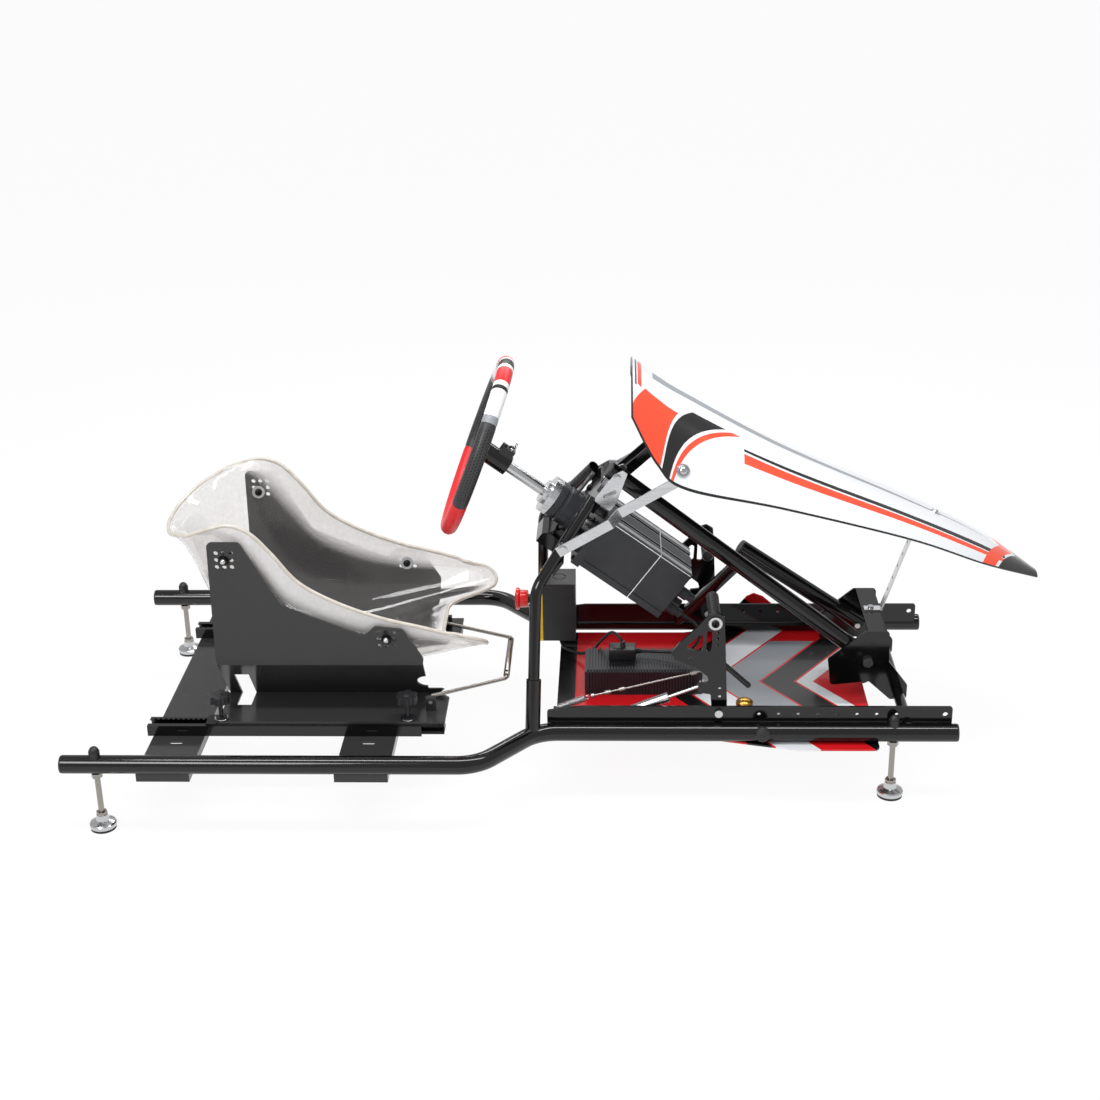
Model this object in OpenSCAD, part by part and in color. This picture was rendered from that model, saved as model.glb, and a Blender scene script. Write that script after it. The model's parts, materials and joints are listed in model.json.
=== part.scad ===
// Karting simulator chassis: bent tube frame, bucket seat on sliders, direct-drive
// steering column, two pedals and a front fairing. +X is forward, +Y is the driver's left,
// +Z is up, and the origin is on the floor under the middle of the part.

/* [Rails] */
// Outside diameter of the side rails
rail_d = 32; // [28:1:38]
// Wall of the side rails
rail_wall = 2; // [1.5:0.5:4]
// Length of the side rails from end to end
rail_length = 1534; // [1450:1:1600]
// Height of the rail centre above the floor
rail_height = 125; // [110:1:150]
// Rail spacing behind the waist, centre to centre
rear_spacing = 680; // [640:1:720]
// Rail spacing in front of the waist, centre to centre
front_spacing = 446; // [430:1:470]
// Centre-line radius of the rail bends
rail_bend_radius = 74; // [50:1:90]
// Rear end of the rails, measured from the middle of the part
rail_back_x = -849; // [-900:1:-800]
// Middle of the waist between the two bends
waist_x = -91; // [-110:1:-70]
// Distance along X between the two bend corners
waist_run = 98; // [80:1:130]

/* [Feet] */
// Diameter of the levelling stud
stud_d = 10; // [8:1:12]
// Diameter of the foot base
foot_d = 46; // [36:1:60]
// Thickness of the rubber pad under each foot
pad_t = 5; // [3:0.5:8]
// Rear foot, measured from the rear rail end
foot_rear_inset = 57; // [45:1:90]
// Front foot, measured from the front rail end
foot_front_inset = 108; // [60:1:130]

/* [Cross members] */
// Width of the folded cross members
cross_w = 92; // [70:1:110]
// Depth of the folded cross members
cross_h = 16; // [12:1:25]
// Sheet thickness of cross members and seat brackets
sheet_t = 4; // [3:0.5:5]
// Rear cross member, measured from the rear rail end to its middle
rear_cross_inset = 171; // [150:1:200]
// Seat cross member, measured from the rear rail end to its middle
seat_cross_inset = 511; // [480:1:540]

/* [Seat slider] */
// Distance of each slider from the centre plane
slider_y = 197; // [185:1:210]
// Length of the fixed slider rail
slider_len = 487; // [450:1:520]
// Width of the fixed slider rail
slider_w = 34; // [30:1:40]
// Height of the fixed slider rail
slider_h = 20; // [18:1:26]
// Wall of the fixed slider rail
slider_wall = 2.5; // [2:0.5:3]
// Pitch of the latch notches
notch_pitch = 9; // [8:1:12]

/* [Seat] */
// Thickness of the seat shell
seat_t = 4; // [3:0.5:6]
// Outward flare of the seat rim
rim_flare = 13; // [8:1:16]
// Outer face of each seat bracket, measured from the centre plane
bracket_y = 175; // [175:1:182]
// Length of the front thigh lobes beyond the front edge
lobe_len = 70; // [40:1:80]

/* [Steering] */
// Wheel centre along X
wheel_x = -149; // [-165:1:-135]
// Wheel centre above the floor
wheel_z = 577; // [565:1:595]
// Slope of the steering column
column_slope = 36.5; // [34:0.5:39]
// Lean of the wheel plane from the vertical
wheel_lean = 21; // [14:0.5:26]
// Outside diameter of the wheel
wheel_d = 332; // [300:1:340]
// Thickness of the wheel grip
grip_d = 28; // [24:1:32]
// Diameter of the steering shaft
shaft_d = 20; // [18:1:24]
// Diameter of the column collar and bearing housing
collar_d = 70; // [60:1:80]
// Length of the motor body
motor_len = 174; // [150:1:200]
// Width of the motor body
motor_w = 126; // [110:1:134]
// Height of the motor body
motor_h = 102; // [90:1:110]

/* [Pedals] */
// Height of the pedal pivot above the floor
pivot_z = 158; // [154:1:162]
// Pedal pivot along X
pivot_x = 274; // [260:1:290]
// Thickness of the pedal arms
arm_t = 5; // [4:0.5:6]
// Length of the foot pegs
peg_len = 108; // [90:1:115]
// Diameter of the foot pegs
peg_d = 22; // [18:1:26]
// Diameter of the pedal pivot pins
pivot_d = 8; // [6:1:10]
// Turns of the throttle return spring
spring_turns = 20; // [14:1:22]

/* [Fairing] */
// Half width of the fairing at its widest
fairing_half_w = 131; // [120:1:140]
// Wall of the fairing
fairing_t = 3; // [2.5:0.5:4]
// Nose of the fairing along X
nose_x = 849; // [820:1:880]

/* [Hidden] */
$fn = 48;

// Clearances: bolts in their holes, running pins, sliding pieces and hidden over-cuts
hole_gap = 0.1;
run_gap = 0.05;
slide_gap = 0.5;
cut = 1;
bend_swell = 0.05;
bend_lap = 0.4;

black = "#17181a";
satin_black = "#26272a";
chrome = "#c9ccd0";
alloy = "#b9bcc0";
rubber = "#151515";
milky = "#d9d6d0";
red = "#e0282b";
yellow = "#f2c40f";
brass = "#b9863a";
fairing_white = "#eceef1";

// Rails
rail_r = rail_d / 2;
rail_z = rail_height;
rail_top = rail_z + rail_r;
rail_bottom = rail_z - rail_r;
rail_front_x = rail_back_x + rail_length;
rear_y = rear_spacing / 2;
front_y = front_spacing / 2;
waist_back = waist_x - waist_run / 2;
waist_front = waist_x + waist_run / 2;
waist_angle = atan((rear_y - front_y) / waist_run);
bend_reach = rail_bend_radius * tan(waist_angle / 2);

// Feet
foot_rear_x = rail_back_x + foot_rear_inset;
foot_front_x = rail_front_x - foot_front_inset;
stud_r = stud_d / 2;
base_h = 22;
cap_h = 20;
nut_h = 8;

// Cross members and sliders: the cross members take a 1 mm saddle of the rails
saddle = 1;
cross_top = rail_bottom + saddle;
cross_half = rear_y + 5;
rear_cross_x = rail_back_x + rear_cross_inset;
seat_cross_x = rail_back_x + seat_cross_inset;
slider_x0 = rear_cross_x - cross_w / 2 - 10;
slider_top = cross_top + slider_h;
slot_w = 15;
runner_web = slot_w - 2 * slide_gap - 1;
runner_top = slider_top + slide_gap + 4;
runner_x0 = slider_x0 + 105;
runner_len = slider_len - 65;
notch_count = 14;

// Seat brackets
flange_z = runner_top + sheet_t;
web_in = 97;
bracket_z0 = flange_z + 93;
seat_bolt_rear = [rear_cross_x + 100, rail_z + 307];
seat_bolt_front = [seat_cross_x + 33, rail_z + 157];
seat_bolt_r = 4;
knob_rear_x = seat_bolt_rear[0] - 24;
knob_front_x = seat_bolt_front[0] + 34;
knob_y = slider_y + 5;
notch_r = 17;

// Steering column: s runs down the column from the wheel centre
plate_s = 216;
plate_t = 6;
flange_s = plate_s + plate_t + 28;
flange_t = 16;
motor_s = flange_s + flange_t;
motor_drop = 6;
collar_s = 144;
collar_len = 22;
housing_s = collar_s + collar_len + 1;
shaft_r = shaft_d / 2;
bearing_r = shaft_r + 8;
upright_r = 10;
upright_wall = 2;
upright_s = plate_s - upright_r;
upright_low = [-99, 172];
upright_high = [66, 79];
upright_x = -50;
upright_bend = 60;

// Struts and front bracket
head_bolt_v = 124;
head_bolt = [
    wheel_x + plate_s * cos(column_slope) + head_bolt_v * sin(column_slope),
    wheel_z - plate_s * sin(column_slope) + head_bolt_v * cos(column_slope)
];
strut_r = 15;
strut_y = 75;
front_tube = [rail_front_x - 83, rail_z + 10];
strut_foot = front_tube + [-57, 63];
strut_top = head_bolt + (head_bolt - strut_foot) / norm(head_bolt - strut_foot) * 16;
peg_at = [pivot_x - 8, pivot_z + 166];
far_strut_top = peg_at + [60, 24];
leg_r = 12;
leg_foot = [pivot_x - 61, front_y, rail_z];
cheek_y = strut_y + strut_r;
front_tube_r = 10;

// Pedals
plate_in = front_y - 14;
pedal_plate_t = 4;
cap_r = front_y - plate_in - pedal_plate_t - slide_gap;
pedal_plate_top = rail_z + 45;
pedal_plate_x0 = -25;
pedal_plate_x1 = rail_front_x - 7;
mount_hole_x = pedal_plate_x1 - 12;
mount_hole_r = 4.5;
arm_out = plate_in - 9;
arm_in = arm_out - arm_t;
sensor_pin = [pivot_x - 27, pivot_z + 42];
sensor_eye = [sensor_pin[0] - 119, sensor_pin[1] - 48];
sensor_y = arm_in - 6;
sensor_angle = atan2(sensor_pin[1] - sensor_eye[1], sensor_pin[0] - sensor_eye[0]);
sensor_len = norm(sensor_pin - sensor_eye);
sensor_pin_r = 3;
link_gap = 1.4;
wire_pin = [pivot_x - 14, pivot_z + 73];
wire_pin_r = 2.2;
wire_end = [wire_pin[0] - 208, wire_pin[1] - 53];
spring_foot = [wire_end[0] - 64, wire_end[1] - 26];
stop_knob_at = [pivot_x + 46, sensor_y];
stop_tab_z = pivot_z - 14;

// Emergency stop
estop_size = [62, 74, 118];
estop_at = [-44, 104, rail_z + 17];
estop_lid_t = 6;
estop_axis = [estop_at[1] + estop_size[1] / 2, estop_at[2] + 72];
estop_travel = 5;

// Tray and power supply
tray_t = 3;
tray_x0 = -12;
tray_x1 = rail_front_x - 134;
psu_x = [38, 253];
psu_y = [-55, 40];
psu_h = 50;
fin_pitch = 5.4;

function unit(v) = v / norm(v);
function lerp(a, b, t) = a + (b - a) * t;
function place3(p, y) = [p[0], y, p[1]];
function column_point(s, v, y) = [
    wheel_x + s * cos(column_slope) + v * sin(column_slope), y,
    wheel_z - s * sin(column_slope) + v * cos(column_slope)
];

// Centre line of a rail through the front bend of the waist
function rail_bend_y(x) = front_y + rail_bend_radius
    - sqrt(pow(rail_bend_radius, 2) - pow(min(0, x - waist_front - bend_reach), 2));

// Outline with round corners of radius r
function corner(p, i, r, n = 5) =
    let (a = unit(p[(i + len(p) - 1) % len(p)] - p[i]), b = unit(p[(i + 1) % len(p)] - p[i]))
    let (half = acos(max(-1, min(1, a * b))) / 2, reach = r / tan(half))
    let (centre = p[i] + unit(a + b) * r / sin(half))
    let (from = p[i] + a * reach - centre, to = p[i] + b * reach - centre)
    [for (k = [0:n]) centre + unit(lerp(from, to, k / n)) * r];
function rounded(p, r) = [for (i = [0:len(p) - 1]) each corner(p, i, r)];

// Outline of a folded sheet of thickness t along a line of points
function side(p, i, d) =
    let (a = i == 0 ? unit(p[1] - p[0]) : unit(p[i] - p[i - 1]))
    let (b = i == len(p) - 1 ? a : unit(p[i + 1] - p[i]))
    let (m = unit([-a[1], a[0]] + [-b[1], b[0]]))
    p[i] + m * d / (m * [-a[1], a[0]]);
function folded(p, t) = concat(
    [for (i = [0:len(p) - 1]) side(p, i, t / 2)],
    [for (i = [len(p) - 1:-1:0]) side(p, i, -t / 2)]
);

// Smooth curve through the stations of a loft
function spline(q, t) =
    let (n = len(q) - 1, i = min(n - 1, floor(t * n)), u = t * n - i)
    let (a = q[max(0, i - 1)], b = q[i], c = q[i + 1], d = q[min(n, i + 2)])
    0.5 * (2 * b + (c - a) * u + (2 * a - 5 * b + 4 * c - d) * u * u + (3 * b - a - 3 * c + d) * u * u * u);

module frame_at(origin, z, x) {
    y = cross(z, x);
    multmatrix([
        [x[0], y[0], z[0], origin[0]], [x[1], y[1], z[1], origin[1]], [x[2], y[2], z[2], origin[2]], [0, 0, 0, 1]
    ]) children();
}

// Straight round bar from p to q
module bar(p, q, r) {
    z = unit(q - p);
    frame_at(p, z, unit(cross(abs(z[2]) < 0.9 ? [0, 0, 1] : [0, 1, 0], z))) cylinder(h = norm(q - p), r = r);
}

// Round bar bent with radius bend at each inner point; the bends are bend_swell thicker
// and the straight runs reach bend_lap into them
module bent_bar(p, bend, r) {
    last = len(p) - 1;
    reach = [for (i = [0:last]) i == 0 || i == last ? 0
        : bend * tan(acos(unit(p[i] - p[i - 1]) * unit(p[i + 1] - p[i])) / 2)];
    for (i = [0:last - 1]) {
        along = unit(p[i + 1] - p[i]);
        start = i == 0 ? 0 : reach[i] - bend_lap;
        stop = i == last - 1 ? 0 : reach[i + 1] - bend_lap;
        bar(p[i] + along * start, p[i + 1] - along * stop, r);
    }
    for (i = [1:last - 1]) {
        a = unit(p[i] - p[i - 1]);
        b = unit(p[i + 1] - p[i]);
        n = unit(cross(a, b));
        inward = cross(n, a);
        frame_at(p[i] - a * reach[i] + inward * bend, n, -inward)
            rotate_extrude(angle = acos(a * b)) translate([bend, 0]) circle(r = r + bend_swell);
    }
}

// Flat plate with an outline in the XZ plane, from y0 to y0 + t
module side_plate(outline, y0, t) {
    translate([0, y0 + t, 0]) rotate([90, 0, 0]) linear_extrude(t) polygon(outline);
}

// Round hole or pin along Y
module y_pin(at, y0, y1, r) {
    translate([at[0], min(y0, y1), at[1]]) rotate([-90, 0, 0]) cylinder(h = abs(y1 - y0), r = r);
}

module left_of() {
    mirror([0, 1, 0]) children();
}

module on_column(s = 0) {
    translate([wheel_x, 0, wheel_z]) rotate([0, 90 + column_slope, 0]) translate([0, 0, s]) children();
}

module on_wheel(z = 0) {
    translate([wheel_x, 0, wheel_z]) rotate([0, 90 + wheel_lean, 0]) translate([0, 0, z]) children();
}

// Tube swept along a list of points, with n sides
module swept(p, r, n = 8) {
    last = len(p) - 1;
    way = [for (i = [0:last]) unit(p[min(last, i + 1)] - p[max(0, i - 1)])];
    up = [for (w = way) unit(cross(cross(w, abs(w[2]) < 0.95 ? [0, 0, 1] : [1, 0, 0]), w))];
    ring = [for (i = [0:last]) for (k = [0:n - 1])
        p[i] + r * (cos(360 * k / n) * up[i] + sin(360 * k / n) * cross(way[i], up[i]))];
    wall = [for (i = [0:last - 1]) for (k = [0:n - 1]) each [
        [i * n + k, i * n + (k + 1) % n, (i + 1) * n + k],
        [i * n + (k + 1) % n, (i + 1) * n + (k + 1) % n, (i + 1) * n + k]
    ]];
    ends = [[for (k = [n - 1:-1:0]) k], [for (k = [0:n - 1]) last * n + k]];
    polyhedron(points = ring, faces = [for (f = concat(wall, ends)) [for (k = [len(f) - 1:-1:0]) f[k]]], convexity = 8);
}

// Side rails with the welded sockets of the steering uprights
rail_path = [
    [rail_back_x, -rear_y, rail_z], [waist_back, -rear_y, rail_z],
    [waist_front, -front_y, rail_z], [rail_front_x, -front_y, rail_z]
];
upright_foot = [upright_x, -rail_bend_y(upright_x), rail_z];
upright_path = [
    upright_foot, column_point(upright_s, upright_low[0], -upright_low[1]),
    column_point(upright_s, upright_high[0], -upright_high[1])
];
upright_way = unit(upright_path[1] - upright_path[0]);
socket_r = upright_r + 3;
socket_top = upright_foot + upright_way * 100;
socket_floor = upright_foot + upright_way * (rail_r + 4);

module rail() {
    extend = [cut, 0, 0];
    color(black) difference() {
        union() {
            bent_bar(rail_path, rail_bend_radius, rail_r);
            bar(upright_foot, socket_top, socket_r);
        }
        bent_bar([rail_path[0] - extend, rail_path[1], rail_path[2], rail_path[3] + extend],
            rail_bend_radius, rail_r - rail_wall);
        bar(socket_floor, socket_top + upright_way, upright_r + run_gap);
        for (x = [foot_rear_x, foot_front_x]) {
            y = x < waist_x ? rear_y : front_y;
            translate([x, -y, 0]) cylinder(h = rail_top + cut, r = stud_r + hole_gap);
        }
    }
}

module rail_right() {
    rail();
}

module rail_left() {
    left_of() rail();
}

// Plug caps in the open ends of the rails and struts
module plug_cap(p, way, r, wall) {
    color(rubber) frame_at(p, way, unit(cross([0, 1, 0], way))) {
        cylinder(h = 3, r1 = r, r2 = r - 1);
        translate([0, 0, -10]) cylinder(h = 10, r = r - wall - hole_gap);
    }
}

module tube_caps() {
    for (side = [-1, 1]) {
        plug_cap([rail_back_x, side * rear_y, rail_z], [-1, 0, 0], rail_r, rail_wall);
        plug_cap([rail_front_x, side * front_y, rail_z], [1, 0, 0], rail_r, rail_wall);
    }
    plug_cap(place3(strut_top, -strut_y), unit(place3(strut_top - strut_foot, 0)), strut_r, rail_wall);
    plug_cap(place3(far_strut_top, strut_y), unit(place3(far_strut_top - strut_foot, 0)), strut_r, rail_wall);
}

// Folded cross members under the rails
module cross_member(x, slot_y) {
    half = cross_w / 2 - sheet_t / 2;
    mid = cross_top - sheet_t / 2;
    fold = [[-half, cross_top - cross_h], [-half, mid], [half, mid], [half, cross_top - cross_h]];
    color(black) difference() {
        union() {
            translate([x, cross_half, 0]) rotate([90, 0, 0]) linear_extrude(2 * cross_half) polygon(folded(fold, sheet_t));
            for (y = [-cross_half, cross_half - sheet_t])
                translate([x - cross_w / 2, y, cross_top - cross_h]) cube([cross_w, sheet_t, cross_h]);
        }
        for (y = [-rear_y, rear_y])
            translate([x - cross_w, y, rail_z]) rotate([0, 90, 0]) cylinder(h = 2 * cross_w, r = rail_r);
        for (y = [-slot_y, slot_y])
            translate([x, y, cross_top - sheet_t - cut]) linear_extrude(sheet_t + 2 * cut) {
                square([16, 9], center = true);
                for (dx = [-8, 8]) translate([dx, 0]) circle(d = 9);
            }
    }
}

module rear_cross() {
    cross_member(rear_cross_x, slider_y + 40);
}

module seat_cross() {
    cross_member(seat_cross_x, slider_y + 40);
}

// Fixed slider rail: a channel with turned-in lips and latch notches in the inner lip
module slider_rails() {
    half = slider_w / 2;
    wall = slider_wall;
    outline = [
        [-half, 0], [half, 0], [half, slider_h], [slot_w / 2, slider_h], [slot_w / 2, slider_h - wall],
        [half - wall, slider_h - wall], [half - wall, wall], [wall - half, wall], [wall - half, slider_h - wall],
        [-slot_w / 2, slider_h - wall], [-slot_w / 2, slider_h], [-half, slider_h]
    ];
    color(black) for (side = [0, 1]) mirror([0, side, 0]) difference() {
        translate([slider_x0, -slider_y, cross_top]) rotate([90, 0, 90]) linear_extrude(slider_len) polygon(outline);
        for (i = [0:notch_count - 1])
            translate([slider_x0 + 8 + i * notch_pitch, -slider_y + slot_w / 2 - cut, slider_top - wall - cut])
                cube([notch_pitch / 2, 4 + cut, wall + 2 * cut]);
    }
}

// Bent tubes that carry the steering head
module upright() {
    top_way = unit(upright_path[2] - upright_path[1]);
    low = socket_floor + upright_way * 0.5;
    color(black) difference() {
        union() {
            bent_bar([low, upright_path[1], upright_path[2]], upright_bend, upright_r);
            y_pin(strap_foot, -upright_y(strap_v), -strap_foot_y, 9);
        }
        bent_bar([low - upright_way, upright_path[1], upright_path[2] + top_way], upright_bend,
            upright_r - upright_wall);
        y_pin(strap_foot, -upright_y(strap_v) + 20, -strap_foot_y - cut, 4 + hole_gap);
    }
}

module upright_right() {
    upright();
}

module upright_left() {
    left_of() upright();
}

// Plate across the uprights that carries the bearing housing and the motor
function upright_y(v) = lerp(upright_low[1], upright_high[1],
    (v - upright_low[0]) / (upright_high[0] - upright_low[0]));

ear_top = 74;
module steering_plate() {
    color(black) difference() {
        union() {
            on_column(plate_s) linear_extrude(plate_t) {
                polygon(rounded([[-75, -56], [-75, 56], [74, 56], [74, -56]], 8));
                for (v = [-54, ear_top - 14])
                    translate([-v - 14, -upright_y(v)]) square([28, 2 * upright_y(v)]);
                translate([-ear_top, -strut_y - strut_r]) square([28, strut_y + strut_r]);
            }
            on_column(plate_s - 34) translate([48, -38, 0]) rotate([-90, 0, 0])
                linear_extrude(76) polygon([[0, -8], [8, 0], [26, 0], [26, -34], [0, -34]]);
        }
        on_column(plate_s - cut) cylinder(h = plate_t + 2 * cut, r = shaft_r + 2);
        for (v = [-40, 40], y = [-40, 40]) on_column(plate_s - cut) translate([-v, y, 0])
            cylinder(h = plate_t + 2 * cut, r = 4);
    }
}

module bearing_housing() {
    len = plate_s - housing_s;
    outer = collar_d / 2;
    color(satin_black) on_column(housing_s) union() {
        rotate_extrude() polygon([
            [bearing_r + hole_gap, 0], [outer - 1, 0], [outer, 1], [outer, 12], [outer - 2, 14], [outer - 2, 18],
            [outer, 20], [outer, len - 10], [outer + 5, len - 10], [outer + 5, len], [bearing_r + hole_gap, len]
        ]);
        translate([-outer - 44, -8, len - 22]) difference() {
            cube([54, 16, 4]);
            for (x = [8, 28]) translate([x, 8, -cut]) cylinder(h = 4 + 2 * cut, r = 3);
        }
    }
}

module column_bearing() {
    color(chrome) on_column(housing_s + 10) rotate_extrude() difference() {
        translate([shaft_r + run_gap, 0]) square([bearing_r - shaft_r - run_gap, 12]);
        translate([(shaft_r + bearing_r) / 2, 0]) circle(r = 2);
        translate([(shaft_r + bearing_r) / 2, 12]) circle(r = 2);
    }
}

// Direct-drive motor
module motor_flange() {
    color(satin_black) difference() {
        union() {
            on_column(flange_s) translate([motor_drop - (motor_h + 10) / 2, -motor_w / 2, 0])
                cube([motor_h + 10, motor_w, flange_t]);
            for (v = [-40, 40], y = [-40, 40])
                on_column(plate_s + plate_t) translate([-v, y, 0]) cylinder(h = flange_s - plate_s - plate_t, r = 8);
        }
        on_column(flange_s - cut) cylinder(h = flange_t + 2 * cut, r = shaft_r + 2);
        for (v = [-40, 40], y = [-40, 40])
            on_column(plate_s) translate([-v, y, 0]) cylinder(h = 30, r = 4);
    }
}

module motor_section() {
    half = motor_w / 2;
    difference() {
        square([motor_h, motor_w], center = true);
        for (y = [-half + 14, -half + 36, half - 36, half - 14])
            translate([-motor_h / 2, y]) square([12, 11], center = true);
        for (y = [-half, half]) translate([motor_h / 2 - 14, y]) square([4, 4], center = true);
    }
}

module motor_body() {
    color(satin_black) difference() {
        on_column(motor_s) translate([motor_drop, 0, 0]) linear_extrude(motor_len) motor_section();
        on_column(motor_s + motor_len * 0.6) translate([motor_drop, 0, 0]) linear_extrude(2) difference() {
            square([motor_h + 4, motor_w + 4], center = true);
            square([motor_h - 3, motor_w - 3], center = true);
        }
    }
}

module motor_connectors() {
    for (at = [plug_at, [2, -42], [-34, 0]])
        color(satin_black) on_column(motor_s + motor_len) translate([-at[0], at[1], 0]) {
            cylinder(h = 6, r = 13);
            translate([0, 0, 6]) cylinder(h = 16, r = 10.5);
            translate([0, 0, 22]) cylinder(h = 12, r = 8);
        }
}

// Slotted cheek plates on both sides of the strut, standing on the ears of the steering plate
cheek_t = 4;
module head_cheek(y, low) {
    outline = [[-9, low], [-9, 128], [0, 142], [9, 142], [13, 128], [25, 90], [25, low]];
    color(alloy) on_column(plate_s) frame_at([0, y + cheek_t, 0], [0, -1, 0], [0, 0, 1]) linear_extrude(cheek_t)
        difference() {
            polygon(rounded(outline, 4));
            for (t = [0:0.25:1]) translate([2 + 9 * t, ear_top + 12 + 16 * t]) circle(r = 3.5);
            translate([0, head_bolt_v]) circle(r = 4 + hole_gap);
        }
}

module head_side_plates() {
    head_cheek(-strut_y - strut_r - cheek_t, ear_top - 6);
    head_cheek(-strut_y + strut_r, ear_top);
}

// Diagonal struts from the steering head to the front bracket
module strut_tube(top, y, extra) {
    way = unit(place3(strut_foot - top, 0));
    from = place3(top, y);
    to = place3(strut_foot, y) + way * extra;
    difference() {
        bar(from, to, strut_r);
        bar(from - way, to + way, strut_r - rail_wall);
        y_pin(strut_foot, y - strut_r - cut, y + strut_r + cut, 5 + hole_gap);
    }
}

module strut_right() {
    color(black) difference() {
        strut_tube(strut_top, -strut_y, 10);
        y_pin(head_bolt, -strut_y - 20, 0, 4 + hole_gap);
    }
}

leg_top = lerp(strut_foot, far_strut_top, 0.93);
module strut_left() {
    color(black) difference() {
        union() {
            strut_tube(far_strut_top, strut_y, 10);
            difference() {
                bar(place3(leg_top, strut_y), leg_foot, leg_r);
                bar(place3(strut_foot, strut_y), place3(far_strut_top, strut_y), strut_r - 1);
            }
        }
        bar([rail_path[2][0], front_y, rail_z], [rail_front_x, front_y, rail_z], rail_r);
    }
}

// Folded bracket that joins the struts to the front cross tube
module front_bracket() {
    foot = strut_foot;
    tube = front_tube;
    cheek = [
        foot + [-71, 5], foot + [-47, 24], foot + [-6, 59], foot + [36, 59], foot + [38, 0],
        tube + [16, 16], tube + [16, -12], tube + [-14, -13], foot + [4, -40], foot + [-65, -47]
    ];
    color(black) difference() {
        union() {
            for (side = [-1, 1])
                side_plate(rounded(cheek, 6), side > 0 ? cheek_y : -cheek_y - sheet_t, sheet_t);
            translate([foot[0] - 2, -cheek_y - cut / 2, foot[1] + 59 - sheet_t]) cube([34, 2 * cheek_y + cut, sheet_t]);
        }
        y_pin(tube, -cheek_y - 10, cheek_y + 10, front_tube_r + hole_gap);
        y_pin(foot, -cheek_y - 10, cheek_y + 10, 5 + hole_gap);
        translate([foot[0] + 14, 0, foot[1]]) cylinder(h = 80, r = 3 + hole_gap);
    }
}

module front_cross_tube() {
    color(black) difference() {
        y_pin(front_tube, -front_y, front_y, front_tube_r);
        for (y = [-front_y, front_y]) bar([front_tube[0] - 60, y, rail_z], [front_tube[0] + 60, y, rail_z], rail_r);
    }
}

// Upright plates on the front rails that carry the pedals
module pedal_plate(stop_tab) {
    outline = [
        [pedal_plate_x0, rail_z], [pedal_plate_x1, rail_z], [pedal_plate_x1, pedal_plate_top],
        [pedal_plate_x0 + 60, pedal_plate_top], [pedal_plate_x0, pedal_plate_top - 8]
    ];
    color(black) difference() {
        union() {
            side_plate(rounded(outline, 5), -plate_in - pedal_plate_t, pedal_plate_t);
            if (stop_tab) {
                translate([stop_knob_at[0] - 11, -plate_in - cut, stop_tab_z - 4])
                    cube([22, plate_in - stop_knob_at[1] + 10 + cut, 4]);
                y_pin(spring_foot, -plate_in - cut, -sensor_y + 6, 3);
            }
        }
        bar([-200, -front_y, rail_z], [rail_front_x + 10, -front_y, rail_z], rail_r);
        y_pin([mount_hole_x, rail_z + 30], -front_y, 0, mount_hole_r);
        y_pin([pivot_x, pivot_z], -front_y, 0, pivot_d / 2 + hole_gap);
        y_pin(front_tube, -front_y, 0, front_tube_r + hole_gap);
        if (!stop_tab) bar(place3(leg_top, -strut_y), [leg_foot[0], -leg_foot[1], leg_foot[2]], leg_r + hole_gap);
        for (i = [0:7]) y_pin([pivot_x + 70 + i * 34, rail_z + 30], -front_y, 0, 3);
        if (stop_tab) translate([stop_knob_at[0], -stop_knob_at[1], stop_tab_z - 20]) cylinder(h = 40, r = 3 + run_gap);
    }
}

module pedal_plate_right() {
    pedal_plate(true);
}

module pedal_plate_left() {
    left_of() pedal_plate(false);
}

// Floor tray under the front rails, with an upturned wing on the left
module tray_outline() {
    rear = front_y - 14;
    front = front_y + 32;
    polygon(rounded([
        [tray_x0, -rear], [tray_x0 + 240, -rear], [tray_x0 + 420, -front], [tray_x1, -front],
        [tray_x1, front], [tray_x0 + 420, front], [tray_x0 + 240, rear], [tray_x0, rear]
    ], 12));
}

module floor_tray() {
    wing_y = front_y + 20;
    wing = [[300, rail_bottom - 1], [352, rail_z + 46], [366, rail_z + 53], [384, rail_z + 46], [456, rail_bottom - 1]];
    color("#c23b33") union() {
        translate([0, 0, rail_bottom - tray_t]) linear_extrude(tray_t) tray_outline();
        side_plate(wing, wing_y, tray_t);
    }
}

// Finned power supply on the tray
module power_supply() {
    w = psu_x[1] - psu_x[0];
    fins = floor((w - 10) / fin_pitch);
    comb = concat([[0, 0], [0, 46]],
        [for (i = [0:fins - 1]) each [[5 + i * fin_pitch, 46], [5 + i * fin_pitch, 50],
            [5 + (i + 0.5) * fin_pitch, 50], [5 + (i + 0.5) * fin_pitch, 46]]],
        [[w, 46], [w, 0]]);
    depth = psu_y[1] - psu_y[0];
    color(satin_black) union() {
        translate([psu_x[0], psu_y[1], rail_bottom]) rotate([90, 0, 0]) linear_extrude(depth - 5)
            polygon([for (p = comb) [p[0], p[1] * psu_h / 50]]);
        translate([psu_x[0], psu_y[0] + 50, rail_bottom]) linear_extrude(psu_h * 0.92)
            polygon([for (p = comb) [p[0], -p[1]]]);
    }
}

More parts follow.
